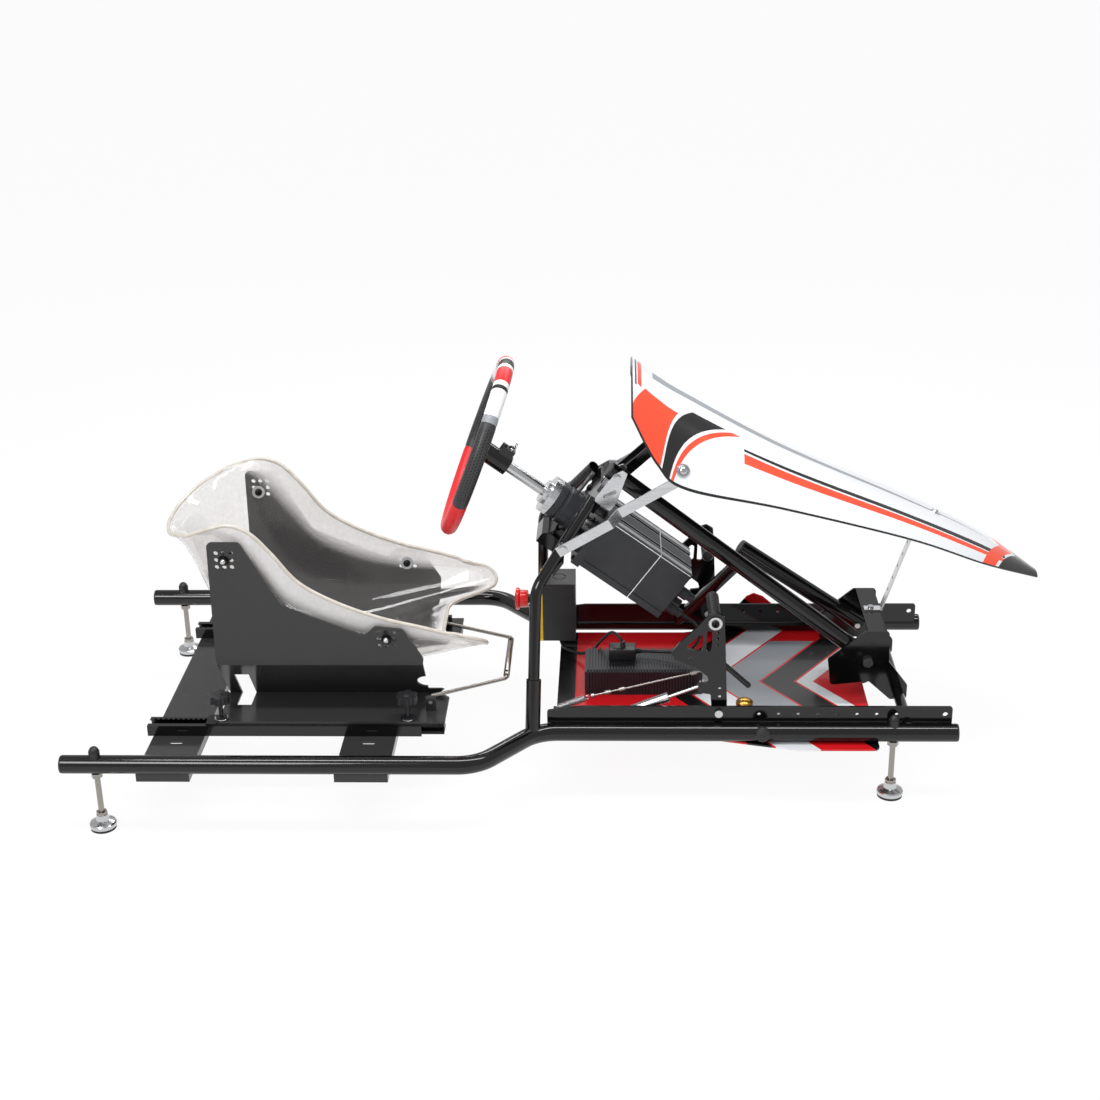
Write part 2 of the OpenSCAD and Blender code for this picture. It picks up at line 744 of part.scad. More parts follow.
// Emergency stop station on the left upright
module estop_box() {
    at = estop_at;
    bracket_from = at[1] + estop_size[1] - 1;
    bracket_z = [socket_top[2] + 3, at[2] + estop_size[2] - 3];
    upright_near = lerp(upright_path[0], upright_path[1],
        (bracket_z[0] - upright_path[0][2]) / (upright_path[1][2] - upright_path[0][2]));
    color(satin_black) difference() {
        union() {
            translate(at) cube(estop_size);
            translate([at[0], bracket_from, bracket_z[0]])
                cube([20, -upright_near[1] - bracket_from, bracket_z[1] - bracket_z[0]]);
        }
        left_of() bar(upright_path[0], upright_path[1], upright_r + run_gap);
        translate([at[0] + estop_size[0] / 2, at[1] + estop_size[1] / 2, at[2] + estop_size[2] - 1.5])
            difference() {
                cylinder(h = 3, r = 13);
                translate([0, 0, -cut]) cylinder(h = 5, r = 11);
            }
        translate([at[0] - cut, estop_axis[0], estop_axis[1]]) rotate([0, 90, 0]) cylinder(h = 30, r = 11);
    }
}

module estop_lid() {
    color(yellow) difference() {
        translate([estop_at[0] - estop_lid_t, estop_at[1], estop_at[2]])
            cube([estop_lid_t, estop_size[1], estop_size[2]]);
        translate([estop_at[0] - estop_lid_t - cut, estop_axis[0], estop_axis[1]])
            rotate([0, 90, 0]) cylinder(h = estop_lid_t + 2 * cut, r = 9 + slide_gap);
    }
}

module estop_button() {
    face = estop_at[0] - estop_lid_t;
    color(red) translate([face, estop_axis[0], estop_axis[1]]) rotate([0, -90, 0]) rotate_extrude()
        polygon([[0, -10], [9, -10], [9, 10], [20, 12], [20, 18], [16, 22], [8, 24], [0, 24.5]]);
}

// Front fairing: a lofted shell, deep over the motor and flat at the nose
fairing_back = 122;
fairing_spine = [
    [fairing_back, 728, 0.90, 60], [lerp(fairing_back, nose_x, 0.06), 697, 0.97, 112],
    [lerp(fairing_back, nose_x, 0.13), 665, 1, 124], [lerp(fairing_back, nose_x, 0.36), 572, 0.99, 68],
    [lerp(fairing_back, nose_x, 0.66), 473, 0.86, 32], [lerp(fairing_back, nose_x, 0.85), 405, 0.62, 24],
    [nose_x, 332, 0.12, 5]
];
fairing_rows = 24;
fairing_cols = 24;
function fairing_at(t, k) =
    let (q = spline(fairing_spine, t), f = sign(k) * pow(abs(k), 0.85))
    [q[0], f * q[2] * fairing_half_w, q[1] - q[3] * pow(abs(f), 2.6)];
function fairing_out(t, k) =
    unit(cross(fairing_at(t + 0.004, k) - fairing_at(t - 0.004, k), fairing_at(t, k + 0.01) - fairing_at(t, k - 0.01)));
function fairing_skin(i, j) = fairing_at(i / fairing_rows, 2 * j / fairing_cols - 1);

// Closed shell between an inner and an outer grid of (rows + 1) by (cols + 1) points
module shell_solid(outer, inner, rows, cols) {
    n = cols + 1;
    size = (rows + 1) * n;
    function quad(a, b, c, d) = [[a, b, c], [a, c, d]];
    skin = [for (i = [0:rows - 1]) for (j = [0:cols - 1])
        each quad(i * n + j, i * n + j + 1, (i + 1) * n + j + 1, (i + 1) * n + j)];
    lining = [for (f = skin) [size + f[2], size + f[1], size + f[0]]];
    loop = concat([for (j = [0:cols - 1]) j], [for (i = [0:rows - 1]) i * n + cols],
        [for (j = [cols:-1:1]) rows * n + j], [for (i = [rows:-1:1]) i * n]);
    m = len(loop);
    rim = [for (i = [0:m - 1]) each quad(loop[i], size + loop[i], size + loop[(i + 1) % m], loop[(i + 1) % m])];
    polyhedron(points = concat(outer, inner), faces = concat(skin, lining, rim), convexity = 10);
}

// Point moved by t along the surface normal of a grid
function grid_normal(g, i, j, rows, cols) =
    let (a = g[min(rows, i + 1)][j] - g[max(0, i - 1)][j], b = g[i][min(cols, j + 1)] - g[i][max(0, j - 1)])
    unit(cross(b, a));
function moved(g, t, rows, cols) = [for (i = [0:rows]) for (j = [0:cols]) g[i][j] + t * grid_normal(g, i, j, rows, cols)];
function flat_grid(g) = [for (row = g) each row];

module fairing_shell() {
    grid = [for (i = [0:fairing_rows]) [for (j = [0:fairing_cols]) fairing_skin(i, j)]];
    shell_solid(moved(grid, -fairing_t, fairing_rows, fairing_cols), flat_grid(grid), fairing_rows, fairing_cols);
}

// Fixing points of the fairing as loft coordinates: the left flank and the nose
flank_at = [0.322, 0.89];
nose_at = [0.731, 0];
flank_bolt = fairing_at(flank_at[0], flank_at[1]);
flank_out = fairing_out(flank_at[0], flank_at[1]);
nose_bolt = fairing_at(nose_at[0], nose_at[1]);
nose_out = fairing_out(nose_at[0], nose_at[1]);
skin_gap = 2.5;
strap_t = 3;
strap_w = 18;
nose_strap_t = 3;

module at_flank() {
    for (side = [0, 1]) mirror([0, side, 0])
        frame_at(flank_bolt, flank_out, unit(cross([0, 1, 0], flank_out))) children();
}

module at_nose() {
    frame_at(nose_bolt, nose_out, unit(cross([0, 1, 0], nose_out))) children();
}

module fairing() {
    color(fairing_white) difference() {
        fairing_shell();
        at_flank() translate([0, 0, -20]) cylinder(h = 40, r = 4 + hole_gap);
        at_nose() translate([0, 0, -20]) cylinder(h = 40, r = 3 + hole_gap);
    }
}

// Aluminium straps from bosses on the uprights to the fairing flanks, and the nose strap
strap_v = -20;
strap_foot = [column_point(upright_s, strap_v, 0)[0], column_point(upright_s, strap_v, 0)[2]];
strap_foot_y = upright_y(strap_v) + upright_r + 8;
strap_rise = 14;
strap_top_y = flank_bolt[1] + (strap_rise * flank_out[2] - skin_gap - strap_t / 2) / flank_out[1];
module flank_strap() {
    fold_z = flank_bolt[2] - strap_rise;
    run = [flank_bolt[0], fold_z] - strap_foot;
    along = unit(place3(run, 0));
    across = [-along[2], 0, along[0]];
    reach = norm(run);
    low = strap_foot_y + strap_t / 2;
    profile = [[-10, low], [reach * 0.4, low], [reach * 0.4 + 18, strap_top_y], [reach + 20, strap_top_y]];
    difference() {
        union() {
            difference() {
                frame_at(place3(strap_foot, 0) - across * strap_w / 2, across, along)
                    linear_extrude(strap_w) polygon(folded(profile, strap_t));
                translate([0, 0, fold_z]) cube(400);
            }
            frame_at(flank_bolt, flank_out, unit(cross([0, 1, 0], flank_out)))
                translate([-12, -10, -skin_gap - strap_t]) cube([24, 10 + strap_rise / flank_out[1] + 1, strap_t]);
        }
        frame_at(flank_bolt, flank_out, unit(cross([0, 1, 0], flank_out)))
            translate([0, 0, -20]) cylinder(h = 40, r = 4 + hole_gap);
        y_pin(strap_foot, low - 10, low + 10, 4 + hole_gap);
    }
}

module fairing_straps() {
    color(alloy) for (side = [0, 1]) mirror([0, side, 0]) flank_strap();
    base = strut_foot + [0, 59 + nose_strap_t / 2];
    out = [nose_out[0], nose_out[2]];
    top = [nose_bolt[0], nose_bolt[2]] - out * (skin_gap + nose_strap_t / 2);
    slope = [out[1], -out[0]];
    nose_path = [base + [2, 0], base + [32, 0], top - slope * 24, top + slope * 10];
    color(alloy) difference() {
        side_plate(folded(nose_path, nose_strap_t), -9, 18);
        at_nose() translate([0, 0, -20]) cylinder(h = 40, r = 3 + hole_gap);
        translate([strut_foot[0] + 14, 0, strut_foot[1] + 50]) cylinder(h = 20, r = 3 + hole_gap);
        for (t = [0.2:0.12:0.85]) translate(place3(lerp(nose_path[1], nose_path[2], t), 0))
            rotate([0, -atan2(nose_path[2][1] - nose_path[1][1], nose_path[2][0] - nose_path[1][0]), 0])
                translate([0, 0, -5]) cylinder(h = 10, r = 3);
    }
}

// Black flat stays from the steering plate up to the underside of the fairing
stay_y = 20;
stay_at = [0.366, pow(stay_y / fairing_half_w, 1 / 0.85)];
module fairing_stays() {
    low = column_point(plate_s + plate_t, 50, 0);
    foot = [low[0], low[2]];
    high = fairing_at(stay_at[0], stay_at[1]);
    out = fairing_out(stay_at[0], stay_at[1]);
    top = [high[0], high[2]];
    for (side = [0, 1]) mirror([0, side, 0])
        color(black) difference() {
            side_plate(folded([foot - unit(top - foot) * 20, top + unit(top - foot) * 20], 18), stay_y - 2, 4);
            on_column(plate_s - 60) translate([-200, 0, 0]) cube([400, 60, plate_t + 60]);
            on_column(plate_s) translate([-52, 0, 0]) cube([200, 60, 200]);
            frame_at(high, out, unit(cross([0, 1, 0], out))) translate([-100, -100, -skin_gap]) cube(200);
        }
}

module fairing_bolts() {
    color(chrome) at_flank() {
        translate([0, 0, -12]) cylinder(h = 12 + fairing_t + 1, r = 4);
        translate([0, 0, fairing_t + 0.4]) cylinder(h = 4, r = 9);
        translate([0, 0, -skin_gap - strap_t - 6]) cylinder(h = 6, r = 6.5);
    }
    color(chrome) at_nose() {
        translate([0, 0, -12]) cylinder(h = 12 + fairing_t + 1, r = 3);
        translate([0, 0, fairing_t + 0.4]) cylinder(h = 4, r = 8);
        translate([0, 0, -skin_gap - nose_strap_t - 5]) cylinder(h = 5, r = 5.5);
    }
}

// Levelling feet
module at_feet() {
    for (side = [-1, 1]) {
        translate([foot_rear_x, side * rear_y, 0]) children();
        translate([foot_front_x, side * front_y, 0]) children();
    }
}

module hex_nut(z, across, h, r) {
    translate([0, 0, z]) difference() {
        cylinder(h = h, d = across / cos(30), $fn = 6);
        translate([0, 0, -cut]) cylinder(h = h + 2 * cut, r = r);
    }
}

module foot_studs() {
    color(chrome) at_feet() {
        translate([0, 0, pad_t + 4]) cylinder(h = rail_top + 10 - pad_t - 4, r = stud_r);
        hex_nut(rail_bottom - nut_h, stud_d * 1.7, nut_h, stud_r + run_gap);
        hex_nut(pad_t + base_h, stud_d * 1.7, 6, stud_r + run_gap);
    }
}

module foot_bases() {
    outer = foot_d / 2;
    color(chrome) at_feet() difference() {
        rotate_extrude() polygon([
            [0, pad_t], [outer, pad_t], [outer, pad_t + 6], [outer - 2, pad_t + 8], [outer * 0.5, pad_t + 12],
            [outer * 0.42, pad_t + base_h], [0, pad_t + base_h]
        ]);
        translate([0, 0, pad_t + 4]) cylinder(h = base_h, r = stud_r + run_gap);
    }
}

module foot_pads() {
    color(rubber) at_feet() cylinder(h = pad_t, r1 = foot_d / 2 - 1, r2 = foot_d / 2 - 2);
}

module foot_caps() {
    color(rubber) for (side = [-1, 1], front = [false, true]) {
        x = front ? foot_front_x : foot_rear_x;
        y = side * (front ? front_y : rear_y);
        difference() {
            translate([x, y, rail_top - 4]) {
                cylinder(h = 14, r = cap_r);
                translate([0, 0, 14]) sphere(r = cap_r - 1);
            }
            translate([x - 20, y, rail_z]) rotate([0, 90, 0]) cylinder(h = 40, r = rail_r);
            translate([x, y, rail_z]) cylinder(h = rail_r + 12, r = stud_r + run_gap);
        }
    }
}

// Bolts and pins that belong to the frame
module frame_bolts() {
    for (side = [-1, 1]) color(chrome) {
        y_pin([pivot_x, pivot_z], side * (arm_in - 7), side * (plate_in + pedal_plate_t + 1), pivot_d / 2);
        y_pin([pivot_x, pivot_z], side * (plate_in + pedal_plate_t), side * (plate_in + pedal_plate_t + 6), 7);
        y_pin([pivot_x, pivot_z], side * (arm_out + slide_gap), side * plate_in, 7);
        y_pin([pivot_x, pivot_z], side * (arm_in - 7), side * (arm_in - slide_gap), 6.5);
        y_pin(strut_foot, side * (strut_y - strut_r - 8), side * (cheek_y + sheet_t + 1), 5);
        y_pin(strut_foot, side * (cheek_y + sheet_t), side * (cheek_y + sheet_t + 7), 9);
    }
    head_y = -strut_y - strut_r - cheek_t;
    color(chrome) y_pin(head_bolt, head_y - 1, -strut_y + strut_r + cheek_t + 8, 4);
    color(chrome) y_pin(head_bolt, head_y - 7, head_y, 7);
    color(chrome) y_pin(head_bolt, -strut_y + strut_r + cheek_t, -strut_y + strut_r + cheek_t + 7, 7);
    color(chrome) for (side = [-1, 1]) {
        y_pin(strap_foot, side * (upright_y(strap_v) - 12), side * (strap_foot_y + strap_t + 1), 4);
        y_pin(strap_foot, side * (strap_foot_y + strap_t), side * (strap_foot_y + strap_t + 5), 7.5);
    }
    color(chrome) translate([strut_foot[0] + 14, 0, strut_foot[1] + 50]) {
        cylinder(h = 13, r = 3);
        cylinder(h = 59 - 50 - sheet_t, r = 5.5);
        translate([0, 0, 59 - 50 + nose_strap_t]) cylinder(h = 4, r = 5.5);
    }
}

// Linear sensor of the throttle and its rod
module on_sensor() {
    translate([sensor_eye[0], -sensor_y, sensor_eye[1]]) rotate([0, 90 - sensor_angle, 0]) children();
}

module throttle_sensor() {
    color(alloy) difference() {
        union() {
            on_sensor() translate([0, 0, -6]) cylinder(h = 70, r = 9);
            translate([sensor_eye[0] - 8, -plate_in, sensor_eye[1] - 10]) cube([26, plate_in - sensor_y, 18]);
        }
        on_sensor() translate([0, 0, 2]) cylinder(h = 80, r = 3 + run_gap);
    }
}

module sensor_rod() {
    color(chrome) {
        on_sensor() translate([0, 0, 6]) cylinder(h = sensor_len - 6 - sensor_pin_r - link_gap - 2, r = 3);
        difference() {
            y_pin(sensor_pin, -sensor_y - 4, -sensor_y + 4, 8);
            y_pin(sensor_pin, -sensor_y - 5, -sensor_y + 5, sensor_pin_r + link_gap);
        }
    }
}

// Throttle return: a wire with clamps and a long extension spring
module throttle_wire() {
    y = -sensor_y;
    from = place3(wire_end, y);
    to = place3(wire_pin, y);
    way = unit(to - from);
    color(chrome) {
        bar(from + way * 2, to - way * (wire_pin_r + link_gap + 2), 1.5);
        difference() {
            y_pin(wire_pin, y - 3, y + 3, wire_pin_r + link_gap + 3);
            y_pin(wire_pin, y - 4, y + 4, wire_pin_r + link_gap);
        }
        for (t = [0.14, 0.26, 0.86, 0.94]) bar(lerp(from, to, t) - way * 5, lerp(from, to, t) + way * 5, 3.5);
        bar(from, from + way * 6, 4);
    }
}

spring_r = 5.5;
spring_wire_r = 0.9;
spring_from = place3(spring_foot, -sensor_y) + unit(place3(wire_end - spring_foot, 0)) * 3;
spring_to = place3(wire_end, -sensor_y) - unit(place3(wire_end - spring_foot, 0)) * 5;
spring_way = unit(spring_to - spring_from);
spring_lift = cross(spring_way, [0, 1, 0]);
spring_run = norm(spring_to - spring_from);
spring_lead = 4;
spring_rings = 8 * spring_turns;
function coil_point(k) =
    let (a = 360 * k / 8, f = min(1, k / 8, (spring_rings - k) / 8), z = spring_lead + (spring_run - 2 * spring_lead) * k / spring_rings)
    spring_from + spring_way * z + spring_r * f * (cos(a) * spring_lift + sin(a) * [0, 1, 0]);
coil_pitch = (spring_run - 2 * spring_lead) / spring_turns;
echo(str("return spring gap between turns ", coil_pitch - 2 * spring_wire_r));

module return_spring() {
    path = concat([spring_from, spring_from + spring_way * spring_lead / 2], [for (k = [0:spring_rings]) coil_point(k)],
        [spring_to - spring_way * spring_lead / 2, spring_to]);
    color(chrome) swept(path, spring_wire_r, 6);
}

// Leads between the emergency stop, the in-line box on the power supply and the motor
plug_at = [-34, -42];
function plug_end(d) = column_point(motor_s + motor_len + 34 + d, plug_at[0], plug_at[1]);
stop_lead = [
    [-13, 130, estop_at[2]], [-13, 130, 136], [-8, 122, 126], [-2, 114, 122], [16, 100, 120], [38, 80, 128], [56, 60, 150], [72, 40, 178],
    [86, 22, 194], [98, 8, 196], [106, 2, 186], [108, 1, 172]
];
motor_lead = [
    [126, 4, 170], [140, 4, 170], [170, 0, 171], [204, -12, 176], [230, -26, 188], [244, -36, 208], [246, -41, 230],
    [236, -42, 250], plug_end(10), plug_end(0)
];
inline_box = [[82, -16], [50, 34, 22]];

module harness() {
    color(rubber) union() {
        translate([inline_box[0][0], inline_box[0][1], rail_bottom + psu_h]) cube(inline_box[1]);
        swept(stop_lead, 3, 8);
        swept(motor_lead, 3, 8);
    }
}

// Moulded bucket seat: ribs run from the spine up to the rim
// Each station holds the spine point, the rim point and the half width of the wall
seat_shift = [seat_cross_x + 338, 0];
seat_ribs = [
    [-702, 451, -640, 476, 152], [-678, 424, -606, 487, 152], [-656, 378, -570, 493, 151], [-632, 318, -533, 479, 151],
    [-592, 250, -497, 440, 151], [-535, 198, -455, 387, 151], [-462, 174, -395, 350, 151], [-382, 174, -320, 320, 151],
    [-300, 199, -240, 299, 150], [-219, 239, -178, 281, 146]
];
seat_rows = 22;
seat_cols = 24;
function lobe_shape(k) = k > 0.62 ? sqrt(max(0, 1 - pow((k - 0.62) / 0.38, 2)))
    : 0.5 - 0.5 * cos(180 * max(0, min(1, (k - 0.12) / 0.5)));
function seat_skin(i, j) =
    let (q = spline(seat_ribs, i / seat_rows), k = 2 * j / seat_cols - 1, a = 90 * abs(k))
    let (square = lerp(1, 0.72, min(1, 3 * i / seat_rows)))
    let (across = pow(sin(a), square), up = 1 - pow(cos(a), square))
    let (flare = rim_flare * pow(max(0, (abs(k) - 0.75) / 0.25), 2))
    let (front = pow(max(0, (i / seat_rows - 0.72) / 0.28), 1.5))
    let (lobe = lobe_len * front * lobe_shape(abs(k)))
    [lerp(q[0], q[2], up) + lobe + seat_shift[0], sign(k) * (q[4] * across + flare), lerp(q[1], q[3], up) + rail_z - 125];

module seat_form(t) {
    grid = [for (i = [0:seat_rows]) [for (j = [0:seat_cols]) seat_skin(i, j)]];
    shell_solid(moved(grid, -t, seat_rows, seat_cols), flat_grid(grid), seat_rows, seat_cols);
}

module seat_shell() {
    color(milky) difference() {
        seat_form(seat_t);
        for (at = [seat_bolt_rear, seat_bolt_front]) y_pin(at, -300, 300, seat_bolt_r + hole_gap);
    }
}

// Folded seat bracket: adjusting plate, sloping web and slider flange
module seat_bracket() {
    front = seat_bolt_front;
    rear = seat_bolt_rear;
    plate = [
        rear + [-31, bracket_z0 - rear[1]], rear + [-28, 33], rear + [28, 33], rear + [93, -86], front + [-39, 5],
        front + [-20, 24], front + [29, 18], front + [63, -38], [front[0] + 63, bracket_z0]
    ];
    half = sheet_t / 2;
    fold = [
        [-bracket_y + half, bracket_z0 + 6], [-bracket_y + half, bracket_z0], [-web_in, runner_top + half],
        [-slider_y - slider_w / 2 + 1, runner_top + half]
    ];
    x0 = rear[0] - 29;
    x1 = front[0] + 100;
    color(black) difference() {
        union() {
            side_plate(rounded(plate, 9), -bracket_y, sheet_t);
            difference() {
                translate([x0, 0, 0]) rotate([90, 0, 90]) linear_extrude(x1 - x0) polygon(folded(fold, sheet_t));
                translate([front[0] + 62, -300, flange_z + 12]) cube([60, 300, 200]);
                y_pin([front[0] + 62, flange_z + 38], -300, 0, notch_r);
            }
            translate([lever_pivot[0] - 9, -lever_lug_y - 8, flange_z - cut])
                cube([18, 8, lever_pivot[1] - flange_z + 8 + cut]);
        }
        y_pin(lever_pivot, -lever_lug_y - 10, -lever_lug_y + 2, lever_r + run_gap);
        for (at = [rear, front], dx = [-1:1], dz = [-1:1])
            y_pin(at + [dx * 13, dz * 13], -bracket_y - cut, -bracket_y + sheet_t + cut, seat_bolt_r + hole_gap);
        translate([x0 + 22, -150, runner_top - cut]) cube([26, 130, 70]);
        for (x = [knob_rear_x, knob_front_x]) translate([x, -knob_y, runner_top - cut])
            cylinder(h = sheet_t + 2 * cut, r = 4 + run_gap);
        translate([x1, -web_in + 6, runner_top - cut]) rotate([0, 0, 45]) cube([40, 40, 200], center = true);
    }
}

module seat_bracket_right() {
    seat_bracket();
}

module seat_bracket_left() {
    left_of() seat_bracket();
}

// Moving slider runners
module slider_runners() {
    low = slider_wall + slide_gap;
    foot_top = slider_h - slider_wall - slide_gap;
    foot = slider_w / 2 - slider_wall - slide_gap;
    web = runner_web / 2;
    cap = slider_h + slide_gap;
    top = runner_top - cross_top;
    half = slider_w / 2;
    outline = [
        [-foot, low], [foot, low], [foot, low + 6], [web, low + 6], [web, cap], [half, cap], [half, top],
        [-half, top], [-half, cap], [-web, cap], [-web, low + 6], [-foot, low + 6]
    ];
    color(satin_black) for (side = [-1, 1]) difference() {
        translate([runner_x0, side * slider_y, cross_top]) rotate([90, 0, 90]) linear_extrude(runner_len) polygon(outline);
        for (x = [knob_rear_x, knob_front_x]) translate([x, side * knob_y, slider_top - 6]) cylinder(h = 30, r = 4 + run_gap);
    }
}

// Seat bolts with their spacers between the shell and the brackets
function seat_wall_y(at) = seat_t + max([for (i = [0:seat_rows]) for (j = [0:seat_cols])
    let (q = seat_skin(i, j)) norm([q[0], q[2]] - at) < 24 ? abs(q[1]) : 0]);

function seat_inner_y(at) =
    let (near = [for (i = [0:seat_rows]) for (j = [seat_cols / 2 + 1:seat_cols])
        let (q = seat_skin(i, j)) [norm([q[0], q[2]] - at), q[1]]])
    let (least = min([for (n = near) n[0]]))
    max([for (n = near) if (n[0] == least) n[1]]);

module seat_bolts() {
    for (side = [-1, 1], at = [seat_bolt_rear, seat_bolt_front]) {
        wall = seat_wall_y(at);
        color(chrome) y_pin(at, side * (bracket_y + 1), side * (seat_inner_y(at) - 7), seat_bolt_r);
        color(chrome) y_pin(at, side * bracket_y, side * (bracket_y + 7), 7.5);
        color(rubber) difference() {
            y_pin(at, side * (bracket_y - sheet_t), side * wall, 10);
            y_pin(at, side * (bracket_y + cut), side * (wall - cut), seat_bolt_r + run_gap);
        }
    }
}

// Star knobs that clamp the brackets to the runners
module star_knob(x, side) {
    z = flange_z;
    color(rubber) translate([x, side * knob_y, z]) {
        translate([0, 0, 6 - sheet_t - 8]) cylinder(h = 34 + sheet_t + 8 - 6, r = 4);
        translate([0, 0, 1]) cylinder(h = 4, r = 10);
        translate([0, 0, 28]) cylinder(h = 6, r1 = 8, r2 = 14);
        translate([0, 0, 34]) linear_extrude(14) difference() {
            circle(r = 19);
            for (a = [0:60:300]) rotate(a) translate([20.5, 0]) circle(r = 5.5);
        }
    }
}

module knob_rear_right() {
    star_knob(knob_rear_x, -1);
}

module knob_front_right() {
    star_knob(knob_front_x, -1);
}

module knob_rear_left() {
    star_knob(knob_rear_x, 1);
}

module knob_front_left() {
    star_knob(knob_front_x, 1);
}

// Slider release lever: a bent wire that joins both sliders and turns in lugs on the brackets
lever_r = 3.5;
lever_pivot = [seat_bolt_front[0] + 72, flange_z + 18.5];
lever_front = [lever_pivot[0] + 129, lever_pivot[1] + 1.5];
lever_lug_y = 164;
module slider_lever() {
    half = [
        [lever_pivot[0], lever_lug_y + 12, lever_pivot[1]], [lever_pivot[0], 150, lever_pivot[1]],
        [lever_front[0], 84, lever_front[1]]
    ];
    path = concat([for (p = half) [p[0], -p[1], p[2]]], [for (i = [2:-1:0]) half[i]]);
    color(chrome) bent_bar(path, 7, lever_r);
}

// Steering wheel
wheel_r = wheel_d / 2 - grip_d / 2;
top_half = 50;
low_half = 41;
seam = 0.06;
module rim_arc(from, to) {
    on_wheel() rotate([0, 0, from + seam]) rotate_extrude(angle = to - from - 2 * seam)
        translate([wheel_r, 0]) circle(d = grip_d);
}

module wheel_rim() {
    color(fairing_white) rim_arc(180 - top_half, 180 + top_half);
    color(rubber) rim_arc(180 + top_half, 360 - low_half);
    color(rubber) rim_arc(low_half, 180 - top_half);
    color(red) rim_arc(-low_half, low_half);
}

module wheel_plate() {
    reach = wheel_r - grip_d / 2 + 0.2;
    color(satin_black) difference() {
        on_wheel(-2) linear_extrude(4) {
            circle(r = 42);
            for (a = [0, 90, 270]) rotate(a) polygon([[20, -26], [reach - 10, -16], [reach + 3, -26], [reach + 3, 26], [reach - 10, 16], [20, 26]]);
        }
        on_wheel() rotate_extrude() translate([wheel_r, 0]) circle(d = grip_d);
        for (a = [30:60:330]) on_wheel(-10) rotate([0, 0, a]) translate([29, 0, 0]) cylinder(h = 20, r = 3);
        for (a = [0, 90, 270]) on_wheel(-10) rotate([0, 0, a]) translate([70, 0, 0]) cylinder(h = 20, r = 9);
        for (a = [0, 90, 270]) on_wheel(-10) rotate([0, 0, a]) translate([96, 0, 0]) cylinder(h = 20, r = 7);
    }
}

module wheel_hub() {
    color(black) difference() {
        union() {
            on_wheel(2) cylinder(h = 8, r = 36);
            on_column(10) cylinder(h = 56, r = 18);
            on_column(36) translate([-30, -10, 0]) cube([20, 20, 26]);
        }
        on_wheel(-60) cylinder(h = 62, r = 80);
        on_column(34) cylinder(h = 60, r = shaft_r + run_gap);
        for (a = [30:60:330]) on_wheel(-10) rotate([0, 0, a]) translate([29, 0, 0]) cylinder(h = 40, r = 3);
    }
}

module steering_shaft() {
    color(chrome) on_column(35) cylinder(h = motor_s - 2 - 35, r = shaft_r);
}

module shaft_collar() {
    color(chrome) on_column(collar_s) difference() {
        union() {
            cylinder(h = 8, r = 22);
            translate([0, 0, 8]) cylinder(h = collar_len - 8, d = collar_d);
        }
        translate([0, 0, -cut]) cylinder(h = collar_len + 2 * cut, r = shaft_r + run_gap);
        for (a = [0:60:300]) rotate([0, 0, a]) translate([28, 0, collar_len - 10]) cylinder(h = 20, r = 3);
    }
}

// Pedals
module pedal_arm() {
    p = [pivot_x, pivot_z];
    outline = [
        p + [-11, -13], p + [12, -13], p + [15, 8], p + [10, 130], p + [7, 178], p + [-6, 186], p + [-20, 181],
        p + [-37, 160], p + [-72, 125], p + [-83, 109], p + [-76, 96], p + [-42, 82], p + [-20, 64],
        p + [-17, 52], p + [-36, 50], p + [-36, 33], p + [-14, 29]
    ];
    difference() {
        side_plate(rounded(outline, 3), -arm_out, arm_t);
        y_pin(p, -arm_out - cut, -arm_in + cut, pivot_d / 2 + run_gap);
        y_pin(peg_at, -arm_out - cut, -arm_in + cut, 4 + hole_gap);
        side_plate(rounded([p + [-60, 118], p + [-28, 150], p + [-30, 112]], 4), -arm_out - cut, arm_t + 2 * cut);
        side_plate(rounded([p + [-22, 152], p + [-12, 150], p + [-14, 112], p + [-23, 112]], 3), -arm_out - cut, arm_t + 2 * cut);
        for (z = [124, 136, 148]) y_pin(p + [-3, z], -arm_out - cut, -arm_in + cut, 2.5);
        for (z = [24, 40]) y_pin(p + [2, z], -arm_out - cut, -arm_in + cut, 3);
        y_pin(p + [-50, 100], -arm_out - cut, -arm_in + cut, 3);
    }
}

module throttle_arm() {
    from = place3([pivot_x - 2, pivot_z + 92], -sensor_y);
    to = place3([pivot_x + 51, pivot_z + 42], -sensor_y);
    color(black) union() {
        pedal_arm();
        y_pin(sensor_pin, -arm_in - cut, -sensor_y + 5, sensor_pin_r);
        y_pin(wire_pin, -arm_in - cut, -sensor_y + 5, wire_pin_r);
        bar(from, to, 5);
        translate(to) sphere(r = 5.6);
        y_pin([from[0], from[2]], -arm_in - cut, -sensor_y + 3, 4);
    }
}

module peg() {
    color(black) {
        y_pin(peg_at, -arm_in, -arm_in + peg_len, peg_d / 2);
        y_pin(peg_at, -arm_out - 5, -arm_in, 4);
        y_pin(peg_at, -arm_out - 3, -arm_out, 12);
        y_pin(peg_at, -arm_out - 8, -arm_out - 3, 7);
    }
}

module throttle_peg() {
    peg();
}

module brake_arm() {
    color(black) left_of() pedal_arm();
}

module brake_peg() {
    left_of() peg();
}

// Brass thumb screw that sets the throttle stop
module stop_knob() {
    color(brass) translate([stop_knob_at[0], -stop_knob_at[1], 0]) {
        translate([0, 0, stop_tab_z - 16]) cylinder(h = 24, r = 3);
        translate([0, 0, stop_tab_z + 4]) cylinder(h = 9, r = 9);
    }
}

